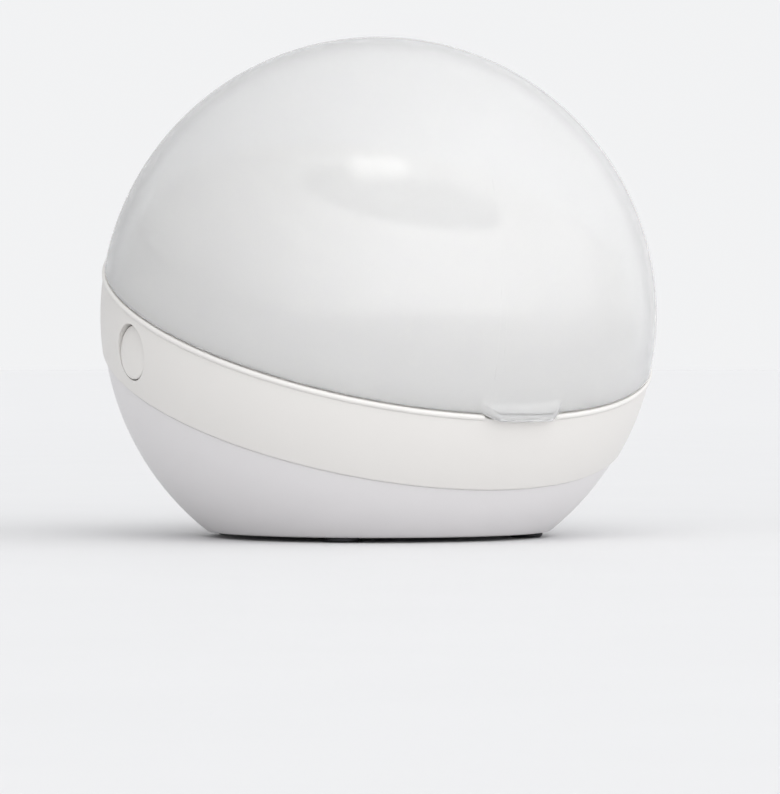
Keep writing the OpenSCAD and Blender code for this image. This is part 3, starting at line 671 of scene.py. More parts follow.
def lid_profile(a):
    """Profiles of the lid for each angle: the inner ball from its pole down to the rim, the rim, and the
    outer ball up to its pole. Near the rim the plain outline P0 and the tab's outline P1 are blended as
    (1 - s) P0 + s P1, and the inner face is pushed in by a ridge."""
    z = sizes()
    reach, dip, rise = z.tab_reach / MM, z.tab_dip / MM, z.tab_rise / MM
    low, f, top = LID_LOW, z.rim_round / MM, 4.2
    from_pole = 83 * smooth(np.linspace(0, 1, 38), 0, 1) ** 0.9
    inner = on_ball(INNER_R, INNER_R * np.sin(np.radians(90 - from_pole)))
    near = on_ball(INNER_R, np.linspace(inner[-1, 1], low + f, 26))[1:]
    plain_r = math.sqrt(BALL_R**2 - low**2)
    rim = softened([(INNER_R, low + f, 0), (INNER_R, low, f), (plain_r - f, low, 0)], 5)
    plain = np.concatenate([rim, arc(plain_r - f, low + f, f, -90, 0, 9),
                            on_ball(BALL_R, np.linspace(low + f, top, 25))[1:]])
    tip, under = BALL_R + reach, low - dip
    tab = softened([(INNER_R, low + f, 0), (INNER_R, low, f), (INNER_R + 0.55, low, 0.25),
                    (INNER_R + 0.55, under, 0.25), (tip - 0.25, under, 0.55), (tip, rise * 0.4, 0.85),
                    (plain_r + 0.5, rise + 0.5, 1.2), (*on_ball(BALL_R, np.array([top]))[0], 0)], 9)
    p0, p1 = resample(plain, 72), resample(tab, 72)
    s = smooth(z.tab_w / MM / 2 - from_front(a), 0, 3.4)[:, None, None]
    edge = (1 - s) * p0 + s * p1
    skin = at_all(a, np.concatenate([inner, near])).copy()
    ridge = smooth(skin[..., 1], 1.05, 1.5) * (1 - smooth(skin[..., 1], 1.8, 2.25))
    skin[..., 0] -= 0.5 * ridge * front_weight(a, 4, 0.8)[:, None]
    up = np.linspace(math.asin(top / BALL_R), math.pi / 2, 68)[1:]
    dome = np.stack([BALL_R * np.cos(up), BALL_R * np.sin(up)], -1)
    dome[-1, 0] = 0
    skin[:, 0, 0] = 0
    return np.concatenate([skin, edge[:, 1:], at_all(a, dome)], 1)


def resample(points, n):
    """n points at even steps along a polyline's length."""
    step = np.linalg.norm(np.diff(points, axis=0), axis=1)
    along = np.concatenate([[0], np.cumsum(step)])
    keep = np.concatenate([[True], step > 1e-9])
    at = np.linspace(0, along[-1], n)
    return np.stack([np.interp(at, along[keep], points[keep, k]) for k in range(points.shape[1])], -1)


def make_lid():
    """The frosted dome with its tab, its hinge knuckle and its magnet's pocket, and the magnet."""
    a = ring_angles(sizes().tab_w / MM / 2 - 0.8, 4)
    relief = [rod(RELIEF_R, *sorted((s * KNUCKLE, s * (EAR_OUT + 0.3))), 0.3, 64) for s in SIDES]
    piece("lid_dome", [spun(lid_profile(a), a)], frosted(), "lid_frosted", "lid_shell", body="lid",
          adds=[at_hinge(rod(BARREL_R, -KNUCKLE, KNUCKLE, 0.35, 64)),
                slab(-3.4, 3.4, 41.4, 44.0, 2.6, 7.4, 0.3)],
          cuts=[at_hinge(rod(PIN_R + 0.05, -20, 20, steps=40)), *[at_hinge(r) for r in relief],
                slab(-2.55, 2.55, 40.7, 43.15, 3.45, 6.55, 0.1)])
    piece("lid_magnet_block", [slab(-2.5, 2.5, 41.7, 43.1, 3.5, 6.5, 0.15)], nickel(), "magnet",
          "lid_magnet", body="lid")


def band_profile(a):
    """Closed profiles of the band for each angle: the ball from the base seam up to the bead, the bead, the
    inner wall with the ledge that carries the tray, and the step for the lower shell's lip. Under the tab
    all points are lowered to the notch and drawn in to the ball."""
    half, sunk = BEAD_H / 2, 0.12
    bead = arc(BALL_R - sunk, -half, half, -62, 90, 12)
    bead[:, 0] = BALL_R - sunk + (bead[:, 0] - BALL_R + sunk) * (BEAD_PROUD + sunk) / half
    outer = on_ball(BALL_R, np.linspace(-BAND_H + 0.25, -BEAD_H - 0.02, 48))
    inner = softened([
        (INNER_R, 0, 0.25), (INNER_R, -1.5, 0), (40.6, -1.5, 0.2), (40.6, -2.5, 0.2),
        (math.sqrt(INNER_R**2 - 3.8**2), -3.8, 0.3)], 4)
    wall = on_ball(INNER_R, np.linspace(-4.2, -9.6, 12))
    lip = softened([(*wall[-1], 0), (LIP_R + 0.2, -11.2, 0.1), (LIP_R + 0.2, -BAND_H, 0.15),
                    (math.sqrt(BALL_R**2 - BAND_H**2), -BAND_H, 0.2), (*outer[0], 0)], 4)
    loop = np.concatenate([outer, bead, inner, wall[:-1], lip[:-1]])
    p = at_all(a, loop).copy()
    notch, outside = -0.62, p[..., 0] > 42.5
    w = np.minimum(p[..., 1], notch)
    r = np.where(p[..., 1] > -1.1, np.minimum(p[..., 0], math.sqrt(BALL_R**2 - notch**2)), p[..., 0])
    s = front_weight(a, sizes().tab_w / MM / 2 - 1.2, 1.2)[:, None] * outside
    p[..., 0] += s * (r - p[..., 0])
    p[..., 1] += s * (w - p[..., 1])
    return p


def ear(low, high):
    """One hinge ear: a barrel drawn into a foot on the band, along x."""
    r = BARREL_R
    outline = np.concatenate([
        arc(HINGE_V, HINGE_W, r, -38, 200, 24),
        softened([(HINGE_V - r * 0.95, HINGE_W - 1.2, 0.2), (42.6, -3.2, 0.2), (42.2, -7.2, 0.3),
                  (44.0, -8.2, 0.5), (HINGE_V + r * 0.55, -3.0, 1.2)], 4)])
    return lying(prism(outline, low, high, 0.5, 5), "x")


def make_band():
    """The band with its hinge ears, and the openings for the button, its keeper, the inlet and the pin."""
    a = ring_angles(sizes().tab_w / MM / 2 - 0.5)
    piece("upper_base", [spun(band_profile(a), a)], ivory(), "band", "band_ring",
          adds=[ear(EAR_IN, EAR_OUT), ear(-EAR_OUT, -EAR_IN)],
          cuts=[at_button(rod(BUTTON_R + 0.2, -60, -40.2, steps=96)),
                at_button(prism(arc(0, 0, 5.7, -216, 36, 49), -42.3, -30)),
                at_inlet(prism(box_outline(5.5, 3.5, 2.0, 8), 35.5, 60)),
                at_hinge(rod(PIN_R + 0.02, -20, 20, steps=40)),
                at_hinge(rod(RELIEF_R, -EAR_IN, EAR_IN, 0.0, 64))])


def foot_angle():
    """The foot's rounded edge: its radius, how far from the axis its middle lies, and how many degrees below
    level the ball runs into it."""
    soft = 1.5
    mid = math.sqrt((LOWER_R - soft) ** 2 - (CENTRE_Z - FOOT_Z - soft) ** 2)
    return soft, mid, math.degrees(math.atan2(CENTRE_Z - FOOT_Z - soft, mid))


def seam_height(r, a, w):
    """Height above the ball's centre at which a ball of radius r meets the seam plane at height w on the seam
    axis, along the upright meridian a: w = A cos e + B sin e with A = -r sin t sin a and B = r cos t, so
    e = asin(w / hypot(A, B)) - atan2(A, B)."""
    p, q = -r * math.sin(TILT) * np.sin(a), r * math.cos(TILT)
    return np.arcsin(w / np.hypot(p, q)) - np.arctan2(p, q)


def lower_profile(a):
    """Upright profiles of the lower shell for each angle: floor, inner ball up to the seam, across, and the
    outer ball down to the rounded foot."""
    soft, mid, lean = foot_angle()
    top_out = seam_height(LOWER_R, a, LOWER_TOP)
    top_in = seam_height(LOWER_R - WALL, a, LOWER_TOP)
    span = lambda start, end, n: start[:, None] + (end - start)[:, None] * np.linspace(0, 1, n)[None]
    ball = lambda r, e: np.stack([r * np.cos(e), CENTRE_Z + r * np.sin(e)], -1)
    inside = LOWER_R - WALL
    low_in = np.full(len(a), -math.asin((CENTRE_Z - FLOOR_Z) / inside))
    inner = ball(inside, span(low_in, top_in - 0.2 / inside, 60))
    outer = ball(LOWER_R, span(top_out - 0.25 / LOWER_R, np.full(len(a), -math.radians(lean)), 72))
    out_r, in_r = ball(LOWER_R - 0.2, top_out), ball(inside + 0.15, top_in)
    t = np.linspace(0, 1, 5)[None, :, None]
    top = in_r[:, None] + (out_r - in_r)[:, None] * t
    foot = arc(mid, FOOT_Z + soft, soft, -lean, -90, 10)[1:]
    floor, middle = np.array([[0, FLOOR_Z]]), np.array([[0, FOOT_Z]])
    return np.concatenate([at_all(a, floor), inner, top, outer, at_all(a, foot), at_all(a, middle)], 1)


def door_outline(grow):
    """Outline of the battery door: a rounded plate with a screw lobe on each long side."""
    x, y, lobe = 24.8 + grow, 12.0 + grow, 3.0 + grow
    sharp = lambda points: [(*p, 0) for p in points]
    half = [*sharp(arc(x - 4.5, y - 4.5, 4.5, 0, 90, 8)), (lobe, y, 0.6), (lobe, LOBE_Y, 0),
            *sharp(arc(0, LOBE_Y, lobe, 0, 180, 17)[1:-1]), (-lobe, LOBE_Y, 0), (-lobe, y, 0.6),
            *sharp(arc(4.5 - x, y - 4.5, 4.5, 90, 180, 8))]
    return softened(half + [(-a, -b, f) for a, b, f in half], 4, closed=True)


def board_height(y):
    """Height of the sloping board's underside."""
    return CENTRE_Z + y * math.tan(TILT) + BOARD_LOW / math.cos(TILT)


def screw_seat(y):
    """Height of a case screw's seat, a grip's length under the board."""
    grip = 7
    return board_height(y) - grip


def make_lower():
    """The lower shell with its lip, its screw posts and the battery door's opening."""
    a = np.arange(sizes().facets) * TAU / sizes().facets
    shell = solid("lower_base", [spun(lower_profile(a), a)], upright)
    inside, low, high = LIP_R - 1.4, -15.2, LOWER_TOP + LIP_H
    lip = softened([(inside, low, 0), (LIP_R, low, 0), (LIP_R, high, 0.3), (inside, high, 0.3)], 4,
                   closed=True)
    joined(shell, [spun(lip, steps=192)])
    # Posts for the case screws, cut to the slope of the board, and posts for the door's screws
    for x, y in POSTS:
        post = rod(3.3, 0, 1, steps=40)[0]
        post[..., 2] = np.where(post[..., 2] > 0.5, board_height(y + post[..., 1]), FOOT_Z + 1)
        joined(shell, [(post + np.array([x, y, 0]), True, False)], upright)
    joined(shell, [moved(rod(2.5, 2.9, 9.0, 0.1, 40), 0, s * LOBE_Y) for s in SIDES], upright)
    tools = [prism(door_outline(0.25), -1, 2.3), prism(box_outline(23.3, 10.8, 3, 8), -1, 4.4)]
    tools += [moved(rod(r, -1, top, steps=40), x, y) for x, y in POSTS
              for r, top in ((2.75, 1.4), (2.3, screw_seat(y)), (1.25, 44))]
    tools += [moved(rod(0.92, 0, 8, steps=24), 0, s * LOBE_Y) for s in SIDES]
    cut(shell, tools, upright)
    finish(shell, "base", white_with_painted_reflection(), "lower_shell", "lower_shell")


def make_button():
    """A cap with a shallow dome and a rounded edge, its keeper behind the wall, and its stem, along x."""
    face, back, dome = -math.sqrt(BALL_R**2 - BUTTON_W**2) + 0.3, -41.65, 30.0
    t = np.linspace(0, BUTTON_R - 0.35, 24)
    crown = np.stack([t, face + dome - np.sqrt(dome**2 - t**2)], -1)
    edge_x = crown[-1, 1]
    edge = arc(BUTTON_R - 0.35, edge_x + 0.35, 0.35, -90, 0, 7)[1:]
    side = softened([(BUTTON_R, edge_x + 0.4, 0), (BUTTON_R, back, 0), (1.6, back, 0), (1.6, -39.0, 0.2),
                     (0, -39.0, 0)], 3)
    cap = at_button(spun(np.concatenate([crown, edge, side]), steps=128))
    keeper = at_button(prism(arc(0, 0, 5.4, -216.4, 36.4, 61), -41.98, -41.08, 0.12))
    piece("button_cap", [cap], plastic("button_satin", hues().ivory, 0.32, Coat_Weight=0.15),
          "button_white", "power_button", body="power_button", adds=[keeper])


# --------------------------------------------------------------------------------------------- chamber


def tray_profile(a):
    """Profiles of the tray: the flange, the collar, the quarter ellipse of the mound up to the plateau, the
    raised ring, the hole, and back under the mound. The front of the collar swells into three ribs."""
    collar, top, foot, plateau, rise, skin = 41.2, 8.1, 6.9, 24, 13.8, 1.8
    up = np.radians(np.linspace(0, 90, 44))
    mound = np.stack([plateau + 15.8 * np.cos(up), foot + rise * np.sin(up)], -1)
    under = np.stack([plateau + 15.0 * np.cos(up), foot - skin + rise * np.sin(up)], -1)[::-1]
    wall_w = np.linspace(-0.1, top - 0.6, 70)
    wall = np.stack([np.full_like(wall_w, collar), wall_w], -1)
    rim = softened([(collar, top - 0.6, 0), (collar, top, 0.5), (collar - 1.0, top, 0.4),
                    (collar - 1.0, foot + 0.1, 0.3), (*mound[0], 0)], 6)
    ring = softened([(*mound[-1], 0), (23.7, 20.7, 0.2), (23.55, 21.5, 0.35), (22.4, 21.5, 0.35),
                     (22.2, 20.7, 0.35), (HOLE_R, 20.7, 1.3), (HOLE_R, -4.5, 0), (HOLE_R - 1, -4.5, 0.15),
                     (HOLE_R - 1, -5.0, 0.15), (HOLE_R, -5.7, 0.2), (HOLE_R, CUP_RIM, 0),
                     (TUBE_R, CUP_RIM, 0.1), (TUBE_R, 18.9, 0), (*under[0], 0)], 6)
    base = softened([(*under[-1], 0), (39.4, 5.1, 0), (39.4, -1.5, 0.1), (42.4, -1.5, 0.15),
                     (42.4, -0.1, 0.15), (collar, -0.1, 0)], 4)
    loop = np.concatenate([wall, rim[1:], mound[1:], ring[1:], under[1:], base[1:-1]])
    p = at_all(a, loop).copy()
    w = p[..., 1]
    rib = 0.25 + 0.3 * (0.5 - 0.5 * np.cos((w - 2.5) / 1.07 * TAU)) ** 0.6
    pad = smooth(w, 2.35, 2.6) * (1 - smooth(w, 5.65, 5.9)) * (p[..., 0] > 41.19)
    p[..., 0] += rib * pad * front_weight(a, 3.2, 0.35)[:, None]
    return p


def make_tray():
    """The chamber's one moulding."""
    a = ring_angles(3.2)
    piece("soother_tray", [spun(tray_profile(a), a)], tray_white(), "tray", "chamber_tray")


def make_guard():
    """A round grille with seven rounded slots and a soft edge."""
    top = GUARD_LOW + 0.9
    guard = solid("lamp_grille", [moved(rod(HOLE_R - 0.2, GUARD_LOW, top, 0.2, 128))])
    slots = []
    for i in range(-3, 4):
        y = i * 3.7
        half = math.sqrt((HOLE_R - 2) ** 2 - (abs(y) + 1.05) ** 2) + 0.4
        slots.append(moved(prism(box_outline(half, 1.05, 1.0, 7), GUARD_LOW - 1, top + 1), 0, y))
    cut(guard, slots)
    edge = guard.modifiers.new("edge", "BEVEL")
    edge.width, edge.segments, edge.limit_method = 0.15 * MM, 3, "ANGLE"
    edge.angle_limit = math.radians(50)
    bake(guard)
    finish(guard, "base", plastic("grille_satin", (0.8, 0.82, 0.85), 0.4), "guard", "lamp_guard")


def make_cup():
    """A drawn metal dish under the hole, with a flange against the tray's tube and holes for the leads."""
    t, bend = 0.6, 1.1
    inner = np.concatenate([arc(HOLE_R - bend, CUP_FLOOR + bend, bend, -90, 0, 10), [[HOLE_R, CUP_RIM]],
                            [[TUBE_R - 0.1, CUP_RIM], [TUBE_R - 0.1, CUP_RIM - t], [HOLE_R + t, CUP_RIM - t]],
                            arc(HOLE_R - bend, CUP_FLOOR + bend, bend + t, 0, -90, 10)])
    out = np.linspace(0, HOLE_R - bend, 12)
    floor = np.stack([out, CUP_FLOOR + 0 * out], -1)
    under = np.stack([out[::-1], CUP_FLOOR - t + 0 * out], -1)
    piece("lamp_dish", [spun(np.concatenate([floor, inner[1:], under[1:]]), steps=160)],
          metal("polished_dish", (0.86, 0.87, 0.89), 0.12, 0.001, (900, 900, 900), 0.08), "cup",
          "reflector_cup",
          cuts=[moved(rod(0.7, CUP_FLOOR - 2, CUP_FLOOR + 2, steps=24), LEAD_X, s * LEAD_Y) for s in SIDES])


def lamp_path(start):
    """The lamp's U: from start out along one leg, half round, and back."""
    leg = np.linspace(start, 5.5, 40)
    flat = lambda y: np.stack([leg, 0 * leg + y], -1)
    path = np.concatenate([flat(-LEG_Y), arc(6, 0, LEG_Y, -90, 90, 40), flat(LEG_Y)[::-1]])
    return np.concatenate([path, np.full((len(path), 1), LAMP_W)], -1)


def make_lamp():
    """A U of clear quartz, a wall thick, whose feet narrow to necks in the socket, with a wound cathode on
    two stiff wires in each foot."""
    up, path, hollow = (0, 0, 1), lamp_path(-12.0), lamp_path(-9.6)
    piece("quartz_tube", [tube(path, 1.2 + 0.6 * smooth(path[:, 0], -10.5, -9.6), up, 32)],
          plastic("quartz", (0.93, 0.95, 1.0), 0.03, 0.0005, Transmission_Weight=1.0, IOR=1.46),
          "lamp_glass", "uv_lamp",
          cuts=[tube(hollow, 1.2 * np.sqrt(smooth(hollow[:, 0], -9.7, -8.6)) + 0.02, up, 24)])
    wires, t = [], np.linspace(0, 1, 61)
    coil_x, coil_r, turns = -7.2, 0.35, 6
    for s in SIDES:
        turn = t * turns * TAU
        coil = np.stack([coil_x + coil_r * np.cos(turn), s * LEG_Y + (t - 0.5) * 1.5,
                         LAMP_W + coil_r * np.sin(turn)], -1)
        wires.append(tube(coil, 0.09, (0, 1, 0), 6))
        for k in (-0.75, 0.75):
            y = s * LEG_Y + k
            lead = np.array([[-9.7, s * LEG_Y + k * 0.8, LAMP_W], [-8.4, y, LAMP_W],
                             [coil_x, y, LAMP_W + 0.2]])
            wires.append(tube(bent(lead, 0.4), 0.11, up, 8))
    piece("lamp_cathodes", wires, metal("cathode_wire", (0.45, 0.44, 0.43), 0.35), "plated_steel")


# ------------------------------------------------------------------------------------ hinge, feet, door


def ring_of(outline, steps=96):
    """A ring-shaped or solid turned piece from an outline of rows (r, height, round)."""
    return spun(softened(outline, 4, closed=outline[0][0] > 0), steps=steps)


def screw(head_r, head, r, low, high, turn_from):
    """A screw along its third axis, head down: the head's outline, a plain neck and a thread of radius
    r - d |2 frac(h / pitch - a / 2 pi) - 1| that fades out at both ends, then a short point."""
    a = np.arange(32) * TAU / 32
    pitch, depth = 0.6, 0.24 * r
    h = np.arange(turn_from, high - 0.5, pitch / 8)
    wave = np.abs(2 * ((h[None] / pitch - a[:, None] / TAU) % 1) - 1)
    fade = smooth(h, turn_from, turn_from + pitch) * (1 - smooth(h, high - 1.1, high - 0.5))
    thread = np.stack([r - depth * (1 - fade + fade * wave), np.broadcast_to(h, wave.shape)], -1)
    thread[..., 0] = np.where(h[None] < turn_from + 0.01, r, thread[..., 0])
    cap = softened([(0, low, 0), (head_r, low, head[0]), (head_r, low + head[1], 0.08),
                    (r, low + head[1], 0.05), (r, turn_from, 0)], 5)[:-1]
    tip = np.array([[r * 0.45, high], [0, high]])
    return spun(np.concatenate([at_all(a, cap), thread, at_all(a, tip)], 1), a)


def cross(half, width, low, high):
    """The two slots of a cross recess."""
    return [slab(-x, x, -y, y, low, high, width * 0.6) for x, y in ((half, width), (width, half))]


def make_screws():
    """Four case screws with threads under the foot pads, and the battery door's two."""
    seats = [(x, y, screw_seat(y)) for x, y in POSTS]
    piece("shell_screws", [moved(screw(2.1, (0.45, 1.6), 1.1, -1.6, 14, 0.8), *seat) for seat in seats],
          steel(), "plated_steel", "case_screws", place=upright,
          cuts=[moved(slot, *seat) for seat in seats for slot in cross(1.3, 0.25, -3, -0.8)])
    seats = [(0, s * LOBE_Y, FOOT_Z) for s in SIDES]
    piece("hatch_screws", [moved(screw(1.9, (0.25, 0.7), 0.9, 0.1, 6.3, 1.2), *seat) for seat in seats],
          steel(), "plated_steel", "door_screws", body="battery_door", place=upright,
          cuts=[moved(slot, *seat) for seat in seats for slot in cross(1.2, 0.2, -1, 0.6)])


def make_feet():
    """Four rubber pads, a little domed underneath."""
    pad = ring_of([(0, 0, 0), (1.9, 0, 0.5), (2.5, 0.12, 0.35), (2.7, 0.5, 0.25), (2.7, 1.38, 0.1),
                   (0, 1.38, 0)], 64)
    piece("rubber_feet", [moved(pad, *at) for at in POSTS], rubber(), "rubber_black", "foot_pads",
          place=upright)


def make_pin():
    """The hinge pin, with rounded ends."""
    half = EAR_OUT - 0.1
    piece("hinge_rod", [at_hinge(rod(PIN_R, -half, half, 0.3))],
          metal("drawn_steel", (0.6, 0.61, 0.62), 0.2, lines=(6000, 400, 400)), "plated_steel", "hinge_pin")


def make_door():
    """The battery door: a plate with two screw lobes, a raised panel inside and finger grooves outside."""
    tools = [moved(rod(r, -1, top), 0, s * LOBE_Y) for s in SIDES
             for r, top in ((2.0, FOOT_Z + 0.8), (1.05, 4))]
    groove = swept(np.array([[0, -4.6, 0], [0, 0, 0], [0, 4.6, 0.0]]), arc(0, 0, 0.5, 0, 342, 20),
                   np.array([0.0, 0, 1]))
    tools += [moved(groove, i * 2.4, 0, FOOT_Z - 0.1) for i in range(-2, 3)]
    piece("battery_hatch", [prism(door_outline(0), FOOT_Z, FOOT_Z + 1.4, 0.15, 4)], white_with_painted_reflection(),
          "lower_shell", "battery_door", body="battery_door", place=upright,
          adds=[prism(box_outline(23.0, 10.5, 2.7, 8), FOOT_Z + 0.5, FOOT_Z + 2.3, 0.25, 4)], cuts=tools)


# ------------------------------------------------------------------------------------------------ board


def spot(angle):
    """A place on the board's top face, by its angle in degrees."""
    a = math.radians(angle)
    return BOARD_MID * math.cos(a), BOARD_MID * math.sin(a), BOARD_TOP


def make_board():
    """A ring of glass-fibre board with clear holes for the case screws."""
    ring = ring_of([(BOARD_IN, BOARD_LOW, 0.08), (BOARD_R, BOARD_LOW, 0.08), (BOARD_R, BOARD_TOP, 0.08),
                    (BOARD_IN, BOARD_TOP, 0.08)], 192)
    board = solid("circuit_board", [ring])
    cut(board, [moved(rod(1.3, 0, 45, steps=32), x, y) for x, y in POSTS], upright)
    finish(board, "base", surface("solder_mask", mask_skin(), hues().mask, 0.22, 0.02), "board",
           "control_board")


def leg(x, y, side, rise):
    """One gull-wing leg: a flat strip out of the chip's side, down, and out along its pad."""
    path = np.array([[-0.3, rise], [0.3, rise], [0.5, 0.11], [1.0, 0.11]])
    path = np.stack([0 * path[:, 0] + x, y + side * path[:, 0], BOARD_TOP + path[:, 1]], -1)
    return strip(bent(path, 0.14, 4), 0.2, 0.07, (1, 0, 0))


def make_chips():
    """Chips with a dimple at their first leg, gull-wing legs on tinned pads, and two can capacitors."""
    pitch = 1.27
    bodies, dimples, legs, pads = [], [], [], []
    for angle, l, w, h in CHIPS:
        x, y, z = spot(angle)
        bodies.append(slab(x - l / 2, x + l / 2, y - w / 2, y + w / 2, z + 0.08, z + h, 0.14))
        dimples.append(moved(rod(0.35, h - 0.1, h + 1, steps=24), x - l / 2 + 0.8, y - w / 2 + 0.8, z))
        count = int((l - 1) / pitch) + 1
        for at in [x + (i - (count - 1) / 2) * pitch for i in range(count)]:
            for s in SIDES:
                legs.append(leg(at, y + s * w / 2, s, h * 0.55))
                mid = y + s * (w / 2 + 0.8)
                pads.append(slab(at - 0.32, at + 0.32, mid - 0.5, mid + 0.5, z - 0.02, z + 0.05, 0.08))
    piece("chip_bodies", bodies, plastic("chip_epoxy", (0.02, 0.02, 0.022), 0.5, 0.006, 2.0), "chip_black",
          "board_chips", cuts=dimples)
    piece("chip_legs", legs + pads, tin(), "plated_steel")
    cans, tops, slots = [], [], []
    for angle, r, h in CANS:
        can = ring_of([(0, 0.02, 0), (r - 0.1, 0.02, 0.1), (r, 0.9, 0.2), (r - 0.28, 1.3, 0.25),
                       (r, 1.7, 0.2), (r, h, 0.35), (r - 0.55, h, 0.1), (r - 0.6, h - 0.15, 0.05),
                       (0, h - 0.15, 0)], 64)
        cans.append(moved(can, *spot(angle)))
        tops.append(moved(rod(r - 0.58, h - 0.2, h - 0.08, 0.03), *spot(angle)))
        slots += [moved(c, *spot(angle)) for c in cross(r * 0.62, 0.09, h - 0.12, h + 1)]
    piece("can_sleeves", cans, plastic("can_sleeve", (0.03, 0.032, 0.045), 0.3), "chip_black")
    piece("can_tops", tops, aluminium(), "plated_steel", cuts=slots)


def make_transformer():
    """A ferrite frame with tape over it, and a bobbin wound with enamelled wire: the winding's radius
    ripples with each turn."""
    x, y, z = spot(0)
    half, wire, turns = 3.6, 0.4, 18
    piece("ferrite_core", [slab(x - 4.5, x + 4.5, y - 5.5, y + 5.5, z, z + 8, 0.3)],
          plastic("ferrite", (0.045, 0.043, 0.042), 0.55, 0.01, 3.0), "transformer", "lamp_transformer",
          cuts=[slab(x - 9, x + 9, y - 4.1, y + 4.1, z + 1.4, z + 6.6, 0.2)])
    piece("yellow_tape", [slab(x - 2.6, x + 2.6, y - 5.57, y + 5.57, z + 0.05, z + 8.07, 0.34)],
          plastic("polyester_tape", (0.62, 0.42, 0.05), 0.28, 0.002, 4.0), "transformer",
          cuts=[slab(x - 4, x + 4, y - 5.5, y + 5.5, z - 1, z + 8, 0.3)])
    v = np.linspace(-half, half, turns * 8 + 1)
    wound = np.stack([2.3 - 0.09 * (1 - np.abs(np.sin(np.pi * (v + half) / wire))), v], -1)
    coil = lying(spun(np.concatenate([[[0, -half]], wound, [[0, half]]]), steps=48), "y")
    piece("coil_winding", [moved(coil, x, y, z + 4)],
          metal("enamelled_copper", (0.66, 0.27, 0.1), 0.22, lines=(300, 300, 300)), "transformer")
    cheeks = [moved(lying(rod(2.58, low, low + 0.5, 0.1), "y"), x, y, z + 4) for low in (-4.1, half)]
    piece("coil_bobbin", cheeks, plastic("bobbin_nylon", (0.5, 0.5, 0.47), 0.4), "transformer")


def make_switch():
    """The tact switch with its metal cover and legs, and the pin that the button pushes."""
    piece("switch_body", [slab(-37, -33, -3, 3, BOARD_TOP, -4.6, 0.2)],
          plastic("switch_nylon", (0.03, 0.03, 0.032), 0.42), "switch_black", "tact_switch",
          adds=[at_button(rod(1.5, -37.5, -36.5, 0.1))], cuts=[at_button(rod(1.2, -38, -34.5))])
    piece("switch_cover", [slab(-37.15, -34.2, -3.06, 3.06, -7.5, -4.5, 0.1)], nickel(), "plated_steel",
          cuts=[slab(-37.0, -30, -3.0, 3.0, -9, -4.6, 0.1), at_button(rod(1.65, -38, -36.5))])
    feet = [slab(x - 0.35, x + 0.35, s * 3 - 0.1, s * 3 + 0.1, BOARD_TOP - 0.02, -6.9, 0.05)
            for x in (-36.2, -33.8) for s in SIDES]
    piece("switch_legs", feet, tin(), "plated_steel")
    piece("switch_pin", [at_button(rod(1.15, -39.0, -35.6, 0.2))],
          plastic("pin_nylon", (0.09, 0.09, 0.1), 0.4), "switch_black", "switch_plunger",
          body="power_button")


def make_lamps_and_sound():
    """The indicator's clear lens with its frame's wires, and the buzzer with its sounding hole."""
    x, y, w = -math.sqrt(BOARD_R**2 - 64) + 2.5, -8.0, BOARD_TOP + 1.5
    nose = np.concatenate([[[0, 1.0]], softened([(1.5, 1.0, 0), (1.5, -2.0, 0)], 2),
                           arc(0, 0, 1.5, 0, 90, 14) * [1, -1] + [0, -2.0]])
    nose[-1, 0] = 0
    piece("led_dome", [moved(lying(spun(nose, steps=64), "x"), x, y, w)],
          plastic("clear_epoxy", (0.75, 0.87, 0.98), 0.06, 0.0005, Transmission_Weight=0.92, IOR=1.53),
          "led_lens", "indicator_led", adds=[slab(x - 1, x + 1, y - 1.5, y + 1.5, BOARD_TOP, w, 0.12)])
    paths = [[[x + 0.3, y + k, BOARD_TOP - 0.02], [x + 0.3, y + k, w], [x - 0.9, y + k * 0.6, w]]
             for k in (-0.6, 0.6)]
    piece("led_frame", [strip(bent(path, 0.3, 4), 0.15, 0.15, (0, 1, 0)) for path in paths], tin(),
          "plated_steel")
    shell = ring_of([(0, 0, 0), (4.5, 0, 0.15), (4.5, 3.7, 0.3), (4.2, 4.0, 0.15), (3.5, 4.0, 0.1),
                     (3.4, 3.85, 0.1), (3.1, 3.85, 0.1), (3.0, 4.0, 0.1), (1.125, 4.0, 0.2),
                     (1.125, 3.0, 0.1), (0, 3.0, 0)], 96)
    piece("buzzer_case", [moved(shell, *spot(-90))],
          plastic("buzzer_nylon", (0.022, 0.022, 0.024), 0.45), "buzzer_black", "buzzer")


def make_reed():
    """The reed switch: a sealed glass tube, two flat reeds that overlap in it, and wires to the board."""
    v, w = 36.5, -3.7
    wall = np.concatenate([[[0, -5.5]], arc(0.55, -4.95, 0.55, -90, 0, 8), [[1.1, -4.6]]])
    wall[1:-1, 0] = np.maximum(wall[1:-1, 0], 0.3)
    outer = np.concatenate([wall, wall[::-1] * [1, -1]])
    inner = np.concatenate([[[0, -4.6]], arc(0.25, -4.1, 0.5, -90, 0, 8), arc(0.25, 4.1, 0.5, 0, 90, 8),
                            [[0, 4.6]]])
    inner[1:-1, 0] += 0.1
    outer, inner = (moved(lying(spun(outline, steps=48), "x"), 0, v, w) for outline in (outer, inner))
    piece("reed_glass", [outer],
          plastic("reed_envelope", (0.62, 0.8, 0.7), 0.04, 0.0005, Transmission_Weight=1.0, IOR=1.5),
          "reed_glass", "reed_switch", cuts=[inner])
    wires = []
    for s in SIDES:
        wire = bent([[s * 6.5, v, BOARD_TOP], [s * 6.5, v, w], [s * 3.6, v, w]], 0.8)
        wires.append(tube(wire, 0.28, (0, 1, 0), 16))
        reed = np.array([[s * 3.8, v, w], [s * 2, v, w + s * 0.1], [s * -0.6, v, w + s * 0.12]])
        wires.append(strip(reed, 0.45, 0.06, (0, 1, 0)))
    piece("reed_blades", wires, tin(), "plated_steel")


